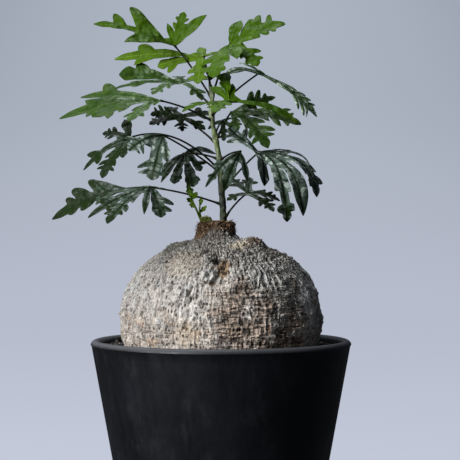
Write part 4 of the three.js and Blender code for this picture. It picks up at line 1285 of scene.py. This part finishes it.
# Way that each lobe faces, from the planes between its rib and the next ones
def lobeNormals(ribs):
    heads = [rib["along"](0.08) for rib in ribs]
    planes = [a.cross(b) for a, b in zip(heads, heads[1:])]
    whole = sum(planes, Vector()).normalized()
    found = []
    for i, head in enumerate(heads):
        normal = whole * 0.6
        if i > 0:
            normal = normal + planes[i - 1].normalized() * 0.5
        if i < len(planes):
            normal = normal + planes[i].normalized() * 0.5
        found.append((normal - head * normal.dot(head)).normalized())
    return found


# Fingers of one side of a lobe, each a little unlike the form's
def sideFingers(form, reachShare, draw):
    uneven = bladeShape["unevenness"]
    found = []
    for at, half, reach in form["fingers"]:
        full = form["waist"] + (reach - form["waist"]) * reachShare * draw.uniform(1 - uneven, 1 + uneven)
        place = at + draw.uniform(-0.03, 0.03) * (1 if at > 0.2 else 0.3)
        found.append((place, half * draw.uniform(0.95, 1.12), full))
    return found


# Half-width of one side of a lobe: its waist, the fingers that stand out of it and a round end
def fingerWidth(form, fingers, share):
    waist = form["waist"]
    start = fingers[-1][0] + fingers[-1][1] * 0.7 if fingers else -0.12
    ahead = min(1.0, max(0.0, (share - start) / (1 - start)))
    endLobe = form["end"] * math.sin(math.pi * ahead ** 0.8) ** 0.75 if 0 < ahead < 1 else 0.0
    width = max(waist * math.sqrt(1 - ahead), endLobe)
    for at, half, reach in fingers:
        u = (share - at) / half
        if abs(u) < 1:
            width = max(width, waist + (reach - waist) * (1 - abs(u) ** 2.2) ** 0.6)
    return width


# Rows across a lobe: the common ones, and closer ones over each finger
def rowShares(*sides):
    shares = {0.0, *bladeShape["rows"], bladeShape["lastRow"]}
    steps = bladeShape["fingerRows"]
    for fingers in sides:
        for at, half, _ in fingers:
            for i in range(steps + 1):
                shares.add(at - half * math.cos(math.pi * i / steps))
    ordered = sorted(share for share in shares if 0 <= share <= bladeShape["lastRow"])
    kept = [0.0]
    for share in ordered[1:]:
        if share - kept[-1] > 0.004:
            kept.append(share)
    return kept


# Columns from a rib to the edge: two close to the rib, where it is raised
def columnShares(reach):
    near = min(0.1, 0.35 / max(reach, 0.5))
    return [0, near, 2.6 * near, 0.42, 0.58, 0.72, 0.84, 0.93, 1]


# Points on the middle line between each two lobes, out to the bottom of their gap
def webLines(joint, ribs, web, add):
    steps = bladeShape["webRows"]
    found = []
    for a, b in zip(ribs, ribs[1:]):
        middle = (a["place"](web) + b["place"](web)) / 2
        corner = joint.lerp(middle, bladeShape["webPull"])
        line = [0]
        for i in range(1, steps + 1):
            spot = joint.lerp(corner, i / steps)
            line.append(add(spot, (a["place"](web * i / steps) - spot).length, noVein))
        found.append(line)
    return found


# Reach of a lobe's edge, held back where the next lobe is near
def freeReach(rib, other, t, reach, room):
    if other is None:
        return reach
    ahead = min(1, t + 0.64 * reach / rib["length"])
    there = other["place"](min(1, ahead * rib["length"] / other["length"]))
    return min(reach, room * (rib["place"](ahead) - there).length)


# Faces between two rows of points on one side of a rib, the first of which may be the joint alone
def joinRows(before, row, side):
    faces = []
    for j in range(len(row) - 1):
        a, b = (before[j], before[j + 1]) if len(before) > 1 else (0, 0)
        quad = (a, row[j], row[j + 1], b) if side < 0 else (a, b, row[j + 1], row[j])
        faces.append(quad if a != b else tuple(dict.fromkeys(quad)))
    return faces


# Middle surface of a blade as points, faces and the distances of each point from its veins
def bladeSurface(leaf, draw):
    shape = {**bladeShape, **leaf}  # a leaf's own values stand in for the common ones
    web = shape["web"]
    joint = Vector(shape["joint"])
    ribs = [ribOf(joint, Vector(lobe[:3]), lobe[3], shape["arch"]) for lobe in shape["lobes"]]
    normals = lobeNormals(ribs)
    points, midVein, sideVein, faces = [joint.copy()], [0.0], [noVein], []

    def add(point, mid, side):
        points.append(point)
        midVein.append(mid)
        sideVein.append(side)
        return len(points) - 1

    lines = webLines(joint, ribs, web, add)
    for k, lobe in enumerate(shape["lobes"]):
        rib = ribs[k]
        length = rib["length"]
        form = lobeForms[lobe[4]]
        turn = math.radians(lobe[7]) if len(lobe) > 7 else 0.0
        normal = normals[k].copy()
        fingers = {-1: sideFingers(form, lobe[5], draw), 1: sideFingers(form, lobe[6], draw)}
        others = {-1: ribs[k - 1] if k else None, 1: ribs[k + 1] if k < len(lines) else None}
        gaps = {-1: lines[k - 1] if k else None, 1: lines[k] if k < len(lines) else None}
        rows = [web * i / shape["webRows"] for i in range(shape["webRows"])]
        rows += [web + (1 - web) * share for share in rowShares(*fingers.values())]
        last = {-1: [0], 1: [0]}
        for i, t in enumerate(rows[1:], 1):
            along = rib["along"](t)
            normal = (normal - along * normal.dot(along)).normalized()
            roll = turn * smoothstep(0.1, 0.5, t)
            face = normal * math.cos(roll) + along.cross(normal) * math.sin(roll)
            share = max(0.0, (t - web) / (1 - web))
            middle = rib["place"](t)
            core = add(middle, 0.0, noVein)
            for side, gap in gaps.items():
                across = face.cross(along) * side
                width = shape["fullness"] * fingerWidth(form, fingers[side], share)
                if not gap and t < web:
                    width = form["waist"] * math.sin(min(1.0, t / web * 1.2) * math.pi / 2)

                # Edge of the lobe, which takes over from the web between the lobes
                reach = freeReach(rib, others[side], t, width * length, shape["room"])
                edge = middle + along * form["lean"] * reach * min(0.7, (1 - t) * 2)
                edge += across * shape["spread"] * reach
                edge += face * (shape["fold"] * reach - shape["droop"] * reach * reach / length)
                free = 1.0
                if gap:
                    free = smoothstep(0, shape["webBlend"], share)
                    edge = points[gap[i]] if t <= web else points[gap[-1]].lerp(edge, free)

                # Points from the rib to the edge, joined to the row before
                span = (edge - middle).length
                vein = noVein
                if share > 0:
                    vein = min([abs(share - at) * length * 0.8 for at, _, _ in fingers[side]] + [noVein])
                bulge = shape["droop"] * span * span / length + shape["puff"] * span * (1 - 0.6 * free)
                row = [core]
                for f in columnShares(span)[1:]:
                    if f == 1 and gap and t <= web:
                        row.append(gap[i])
                        continue
                    row.append(add(middle.lerp(edge, f) + face * bulge * f * (1 - f), span * f, vein))
                faces += joinRows(last[side], row, side)
                last[side] = row
        tip = add(rib["place"](1), 0.0, noVein)
        for side in (-1, 1):
            for a, b in zip(last[side], last[side][1:]):
                faces.append((a, tip, b) if side < 0 else (a, b, tip))
    return points, faces, midVein, sideVein


# Closed blade from its middle surface, thin at its rim, with the ribs raised below
def thickened(points, faces, midVein, sideVein, wavePlace):
    shape = bladeShape
    normals = [Vector() for _ in points]
    edges = {}
    for face in faces:
        corners = [points[i] for i in face]
        normal = Vector()
        for i in range(1, len(corners) - 1):
            normal += (corners[i] - corners[0]).cross(corners[i + 1] - corners[0])
        for i, a in enumerate(face):
            b = face[(i + 1) % len(face)]
            normals[a] += normal
            edges[(a, b)] = True
    rim = {i for a, b in edges if (b, a) not in edges for i in (a, b)}
    joint = points[0]
    upper, lower = [], []
    for i, point in enumerate(points):
        normal = normals[i].normalized()
        away = (point - joint).length
        wave = noise.noise(point / shape["waveSize"] + wavePlace)
        wave += shape["fineWaveShare"] * noise.noise(point / shape["fineWaveSize"] + wavePlace)
        middle = point + normal * shape["waveHeight"] * min(1.0, away / shape["calmReach"]) * wave
        thick = shape["rimThick"] if i in rim else shape["thick"]
        rib = shape["ribRise"] * math.exp(-(midVein[i] / shape["ribReach"]) ** 2)
        rib *= 1 - 0.6 * smoothstep(shape["ribFadeFrom"], shape["ribFadeTo"], away)
        side = shape["sideRise"] * math.exp(-(sideVein[i] / shape["sideReach"]) ** 2)
        if i in rim:
            rib = side = 0.0
        upper.append(middle + normal * (thick / 2 - 0.3 * rib - 0.4 * side))
        lower.append(middle - normal * (thick / 2 + rib + side))
    count = len(points)
    closed = list(faces) + [tuple(i + count for i in reversed(face)) for face in faces]
    for a, b in edges:
        if (b, a) not in edges:
            closed.append((b, a, a + count, b + count))
    return upper + lower, closed


# Petiole from just inside the stem's skin to just inside the blade
def petioleBar(leaf, first):
    shape = petioleShape
    joint = Vector(leaf["joint"])
    centre, along, radius = stemAt(leaf["node"])
    toJoint = (joint - centre).normalized()
    out = (toJoint - along * toJoint.dot(along)).normalized()
    start = centre + out * (radius - shape["inStem"])
    middle = (start + joint) / 2 + Vector((0, 0, 2 * leaf.get("bow", shape["bow"])))
    end = joint + (joint - middle).normalized() * shape["inBlade"]
    length = (joint - start).length
    line, radii = [], []
    for i in range(shape["steps"] + 1):
        u = i / shape["steps"]
        line.append(start * (1 - u) ** 2 + middle * 2 * u * (1 - u) + end * u * u)
        base = math.exp(-(u * length / shape["baseReach"]) ** 2)
        top = math.exp(-((1 - u) * length / shape["topReach"]) ** 2)
        radius = blendOf(shape["midRadius"], shape["topRadius"], u)
        radii.append(radius + shape["baseSwell"] * base + shape["topSwell"] * top)
    return barShape(line, radii, shape["sides"], first)


# Leaf looks. The sheen and glint colours are painted highlights, and the dark vein colours of the mixed and
# dark looks are painted shade; sheenShare is how strongly the painted sheen shows
leafLooks = {
    "young": {"low": (0.018, 0.054, 0.001), "high": (0.068, 0.137, 0.002), "under": (0.062, 0.13, 0.003),
              "vein": (0.14, 0.22, 0.025), "sheen": (0.14, 0.235, 0.03), "glint": (0.4, 0.52, 0.26),
              "sheenShare": 0.5, "specular": 0.06},
    "bright": {"low": (0.016, 0.052, 0.001), "high": (0.058, 0.128, 0.001), "under": (0.038, 0.09, 0.001),
               "vein": (0.085, 0.16, 0.015), "sheen": (0.12, 0.21, 0.035), "glint": (0.44, 0.56, 0.34),
               "sheenShare": 0.55, "specular": 0.05},
    "mixed": {"low": (0.007, 0.028, 0.001), "high": (0.042, 0.094, 0.001), "under": (0.03, 0.065, 0.01),
              "vein": (0.02, 0.05, 0.01), "sheen": (0.165, 0.27, 0.135), "glint": (0.74, 0.88, 0.74),
              "sheenShare": 0.85, "specular": 0.06},
    "dark": {"low": (0.0015, 0.005, 0.001), "high": (0.0125, 0.032, 0.002), "under": (0.008, 0.02, 0.003),
             "vein": (0.006, 0.013, 0.006), "sheen": (0.16, 0.222, 0.192), "glint": (0.64, 0.75, 0.71),
             "sheenShare": 0.9, "specular": 0.08},
}
# Painted grey-green sheen and glints of a leaf, which also make its surface less rough: its strength at the
# joint, and the distance from there where it ends
glossAndPaintedSheenShares = {
    "leaf_a": (0.45, 60), "leaf_b": (0.5, 50), "leaf_c": (0.45, 60), "leaf_d": (3.0, 130),
    "leaf_e": (0.1, 40), "leaf_f": (0.8, 60), "leaf_g": (1.0, 50), "leaf_h": (0.95, 46),
    "leaf_i": (0.0, 50), "leaf_j": (0.1, 50), "leaf_k": (0.35, 50), "leaf_l": (1.3, 70),
    "leaf_m": (0.9, 50), "leaf_n": (1.15, 60), "leaf_o": (1.55, 110), "leaf_p": (0.6, 50),
    "leaf_q": (1.1, 60),
}
leafGloss = {
    "roughness": 0.38, "roughRange": 0.1, "glintScale": 250, "veinShare": 0.5, "veinHeight": 0.2,
    "puckerScale": 150, "puckerHeight": 3.4, "pucker": 0.9,
}
stalkTones = [(0.4, (0.006, 0.008, 0.005)), (0.65, (0.022, 0.03, 0.012))]


def addValues(values, more):
    for key, numbers in more.items():
        values.setdefault(key, []).extend(numbers)


# Values that the material reads, for both sides of a blade
def bladeValues(midVein, sideVein):
    count = len(midVein)
    under = [0.0] * count + [1.0] * count
    return {"midVein": midVein * 2, "sideVein": sideVein * 2, "under": under, "stalk": [0.0] * 2 * count}


# The same for a stalk, all in one tone
def stalkValues(count, midVein, stalk):
    single = {"midVein": midVein, "sideVein": noVein, "under": 0.0, "stalk": stalk}
    return {key: [number] * count for key, number in single.items()}


def makeLeaf(nodeName, leaf, seed):
    draw = random.Random(seed)
    surface, sheet, midVein, sideVein = bladeSurface(leaf, draw)
    points, faces = thickened(surface, sheet, midVein, sideVein, Vector((seed * 3.7, 1.3, 0)))
    barPoints, barFaces = petioleBar(leaf, len(points))
    joint = Vector(leaf["joint"])
    strength, far = glossAndPaintedSheenShares[nodeName]
    values = bladeValues(midVein, sideVein)
    values["gloss"] = [strength * smoothstep(far, 0.2 * far, (point - joint).length) for point in points]
    addValues(values, stalkValues(len(barPoints), noVein, 1.0))
    addValues(values, {"gloss": [0.0] * len(barPoints)})
    piece = meshPiece("leaf" + nodeName[-1].upper(), points + barPoints, faces + barFaces, values)
    shadeRound(piece, 55)
    return piece


# Shared effect: midrib and side veins
def veinGroup():
    group, given, result = startGroup("veins", [("Mid", "Float"), ("Side", "Float")], "Vein")
    mid = mapOf(group, given["Mid"], 0.25, 0.75, 1.0, 0.0)
    side = mapOf(group, given["Side"], 0.12, 0.5, 0.6, 0.0)
    group.links.new(mathOf(group, "MAXIMUM", mid, side), result["Vein"])
    return group


veins = veinGroup()


def leafMaterial(name):
    look = leafLooks[name]
    gloss = leafGloss
    material, tree, shader = newMaterial(name + "Leaf", {"Specular IOR Level": look["specular"]})
    place = objectPlace(tree)
    keys = ("midVein", "sideVein", "under", "stalk", "gloss")
    midVein, sideVein, under, stalk, glossAndPaintedSheen = [attributeOf(tree, key) for key in keys]
    inputs = {"Mid": midVein, "Side": sideVein}
    vein = addNode(tree, "ShaderNodeGroup", inputs, node_tree=veins).outputs["Vein"]
    panel = timesOf(tree, mapOf(tree, midVein, 0.3, 1.7, 0.2, 1.0),
                    mapOf(tree, sideVein, 0.1, 1.3, 0.25, 1.0))

    # Green clouds under a painted grey-green sheen, with painted glints between the veins
    clouds = mottleOf(tree, place, 60, 300, 0.12)
    colour = rampOf(tree, clouds, [(0.37, look["low"]), (0.6, look["high"])])
    patches = mottleOf(tree, stretched(tree, place, (1, 1, 1), (0.3, 0.1, 0.7)), 110, 240, 0.25)
    sheen = mapOf(tree, plusOf(tree, patches, timesOf(tree, glossAndPaintedSheen, 0.2)), 0.58, 0.68)
    sheen = timesOf(tree, sheen, panel)
    colour = mixOf(tree, timesOf(tree, sheen, look["sheenShare"]), colour, look["sheen"])
    glints = noiseOf(tree, stretched(tree, place, (1, 1, 1), (4, 2, 1)), gloss["glintScale"], 2, 0.5)
    glints = mapOf(tree, glints, 0.545, 0.615)
    glintShare = timesOf(tree, mapOf(tree, glossAndPaintedSheen, 0.2, 1.3, 0.0, 0.95), panel)
    colour = mixOf(tree, timesOf(tree, glints, glintShare), colour, look["glint"])
    # Painted shade along the veins: darker towards the low green there
    colour = mixOf(tree, mapOf(tree, panel, 0.2, 1.0, 0.6, 0.0), colour, look["low"])

    # Underside, which gives way to the painted sheen where that is strong; veins, pale on young and bright
    # leaves and painted shade on mixed and dark ones; and stalk
    underShare = mapOf(tree, glossAndPaintedSheen, 1.1, 1.8, 0.7, 0.1)
    colour = mixOf(tree, timesOf(tree, under, underShare), colour, look["under"])
    colour = mixOf(tree, timesOf(tree, vein, gloss["veinShare"]), colour, look["vein"])
    colour = mixOf(tree, stalk, colour, rampOf(tree, noiseOf(tree, place, 300, 3), stalkTones))
    tree.links.new(colour, shader.inputs["Base Color"])
    low, high = gloss["roughness"] - gloss["roughRange"], gloss["roughness"] + gloss["roughRange"]
    tree.links.new(mapOf(tree, sheen, 0.0, 1.0, high, low), shader.inputs["Roughness"])
    puckers = noiseOf(tree, place, gloss["puckerScale"], 1, 0.4)
    pucker = bumpOf(tree, puckers, gloss["puckerHeight"], gloss["pucker"])
    groove = bumpOf(tree, timesOf(tree, vein, -0.8), gloss["veinHeight"], 0.6, pucker)
    tree.links.new(groove, shader.inputs["Normal"])
    return material


leafMaterials = {name: leafMaterial(name) for name in leafLooks}
for number, (nodeName, leaf) in enumerate(leaves.items()):
    piece = makeLeaf(nodeName, leaf, number + 1)
    finishPiece(piece, leafMaterials[leaf["colour"]], "leaf_" + leaf["colour"], nodeName)
print("leaves ready")


# Sprigs of young leaves: stalks, and leaflets as [base, tip, width]
sprigs = {
    "side_shoot": {
        "stalks": [
            ((-13.4, -5, 246.8), (-17, -8, 255), (-20.8, -10, 264)),
            ((-13.4, -5, 246.8), (-14.6, -7, 253), (-14.4, -8.5, 259.6)),
        ],
        "leaflets": [
            ((-20.3, -9.8, 262.5), (-23.4, -11, 272.5), 5), ((-20.6, -9.9, 262), (-16, -12, 266.5), 4.4),
            ((-18.8, -9, 259), (-23.5, -12, 262.5), 4), ((-17.6, -8.3, 256.4), (-22, -8, 258.5), 3.4),
            ((-14.5, -8.2, 257.5), (-13.6, -9, 264), 3), ((-14.6, -7, 252.8), (-9.8, -9, 257.4), 3),
        ],
        "radii": (0.9, 0.45),
    },
    "shoot_tip": {
        "stalks": [((-7.5, 1, 340.4), (-8, 1.4, 344), (-8.2, 1.6, 347))],
        "leaflets": [
            ((-8.2, 1.6, 346), (-10.4, 2.4, 354), 3), ((-8, 1.4, 344.4), (-4.4, 0.4, 350), 2.8),
            ((-7.9, 1.4, 343.6), (-9, -2.6, 349.4), 2.8),
        ],
        "radii": (1.1, 0.5),
    },
}


sprigShape = {
    "steps": 14, "sides": 10, "stalkVein": 0.4, "stalkTone": 0.25,
    "rows": 14, "halfColumns": 4,  # of a leaflet
}


# Middle surface of a small wavy leaf, folded up along its rib
def leafletSurface(base, tip, width):
    along = (tip - base).normalized()
    across = along.cross(Vector((0.3, 1, 0.2))).normalized()
    face = across.cross(along)
    length = (tip - base).length
    rows, halfColumns = sprigShape["rows"], sprigShape["halfColumns"]
    points, mid = [], []
    for i in range(rows + 1):
        t = i / rows
        half = width / 2 * max(0.04, math.sin(math.pi * t ** 0.8)) * (1 + 0.22 * math.sin(t * 17))
        for j in range(-halfColumns, halfColumns + 1):
            s = j / halfColumns
            lift = 0.4 * half * abs(s) + length * 0.12 * math.sin(math.pi * t) - 0.25 * half * s * s
            ahead = length * t + 0.3 * half * abs(s) * (1 - t)
            points.append(base + along * ahead + across * half * s + face * lift)
            mid.append(abs(s) * half)
    faces = []
    columns = 2 * halfColumns + 1
    for i in range(rows):
        for j in range(columns - 1):
            a = i * columns + j
            faces.append((a, a + columns, a + columns + 1, a + 1))
    return points, faces, mid, [noVein] * len(points)


def makeSprig(name, sprig):
    shape = sprigShape
    points, faces, values = [], [], {}
    for stalk in sprig["stalks"]:
        line = smoothLine(stalk, shape["steps"])
        radii = [blendOf(*sprig["radii"], i / shape["steps"]) for i in range(shape["steps"] + 1)]
        barPoints, barFaces = barShape(line, radii, shape["sides"], len(points))
        points += barPoints
        faces += barFaces
        addValues(values, stalkValues(len(barPoints), shape["stalkVein"], shape["stalkTone"]))
    for base, tip, width in sprig["leaflets"]:
        surface, sheet, mid, side = leafletSurface(Vector(base), Vector(tip), width)
        shell, closed = thickened(surface, sheet, mid, side, Vector(tip))
        first = len(points)
        points += shell
        faces += [tuple(first + i for i in face) for face in closed]
        addValues(values, bladeValues(mid, side))
    piece = meshPiece(name, points, faces, values)
    shadeRound(piece, 55)
    return piece


for name, nodeName in (("sideShoot", "side_shoot"), ("shootTip", "shoot_tip")):
    finishPiece(makeSprig(name, sprigs[nodeName]), leafMaterials["young"], "leaf_young", nodeName)
print("sprigs ready")


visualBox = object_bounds()
boxes = {"cad": cadBox, "visual": visualBox}
{name: [list(low), list(high)] for name, (low, high) in boxes.items()}
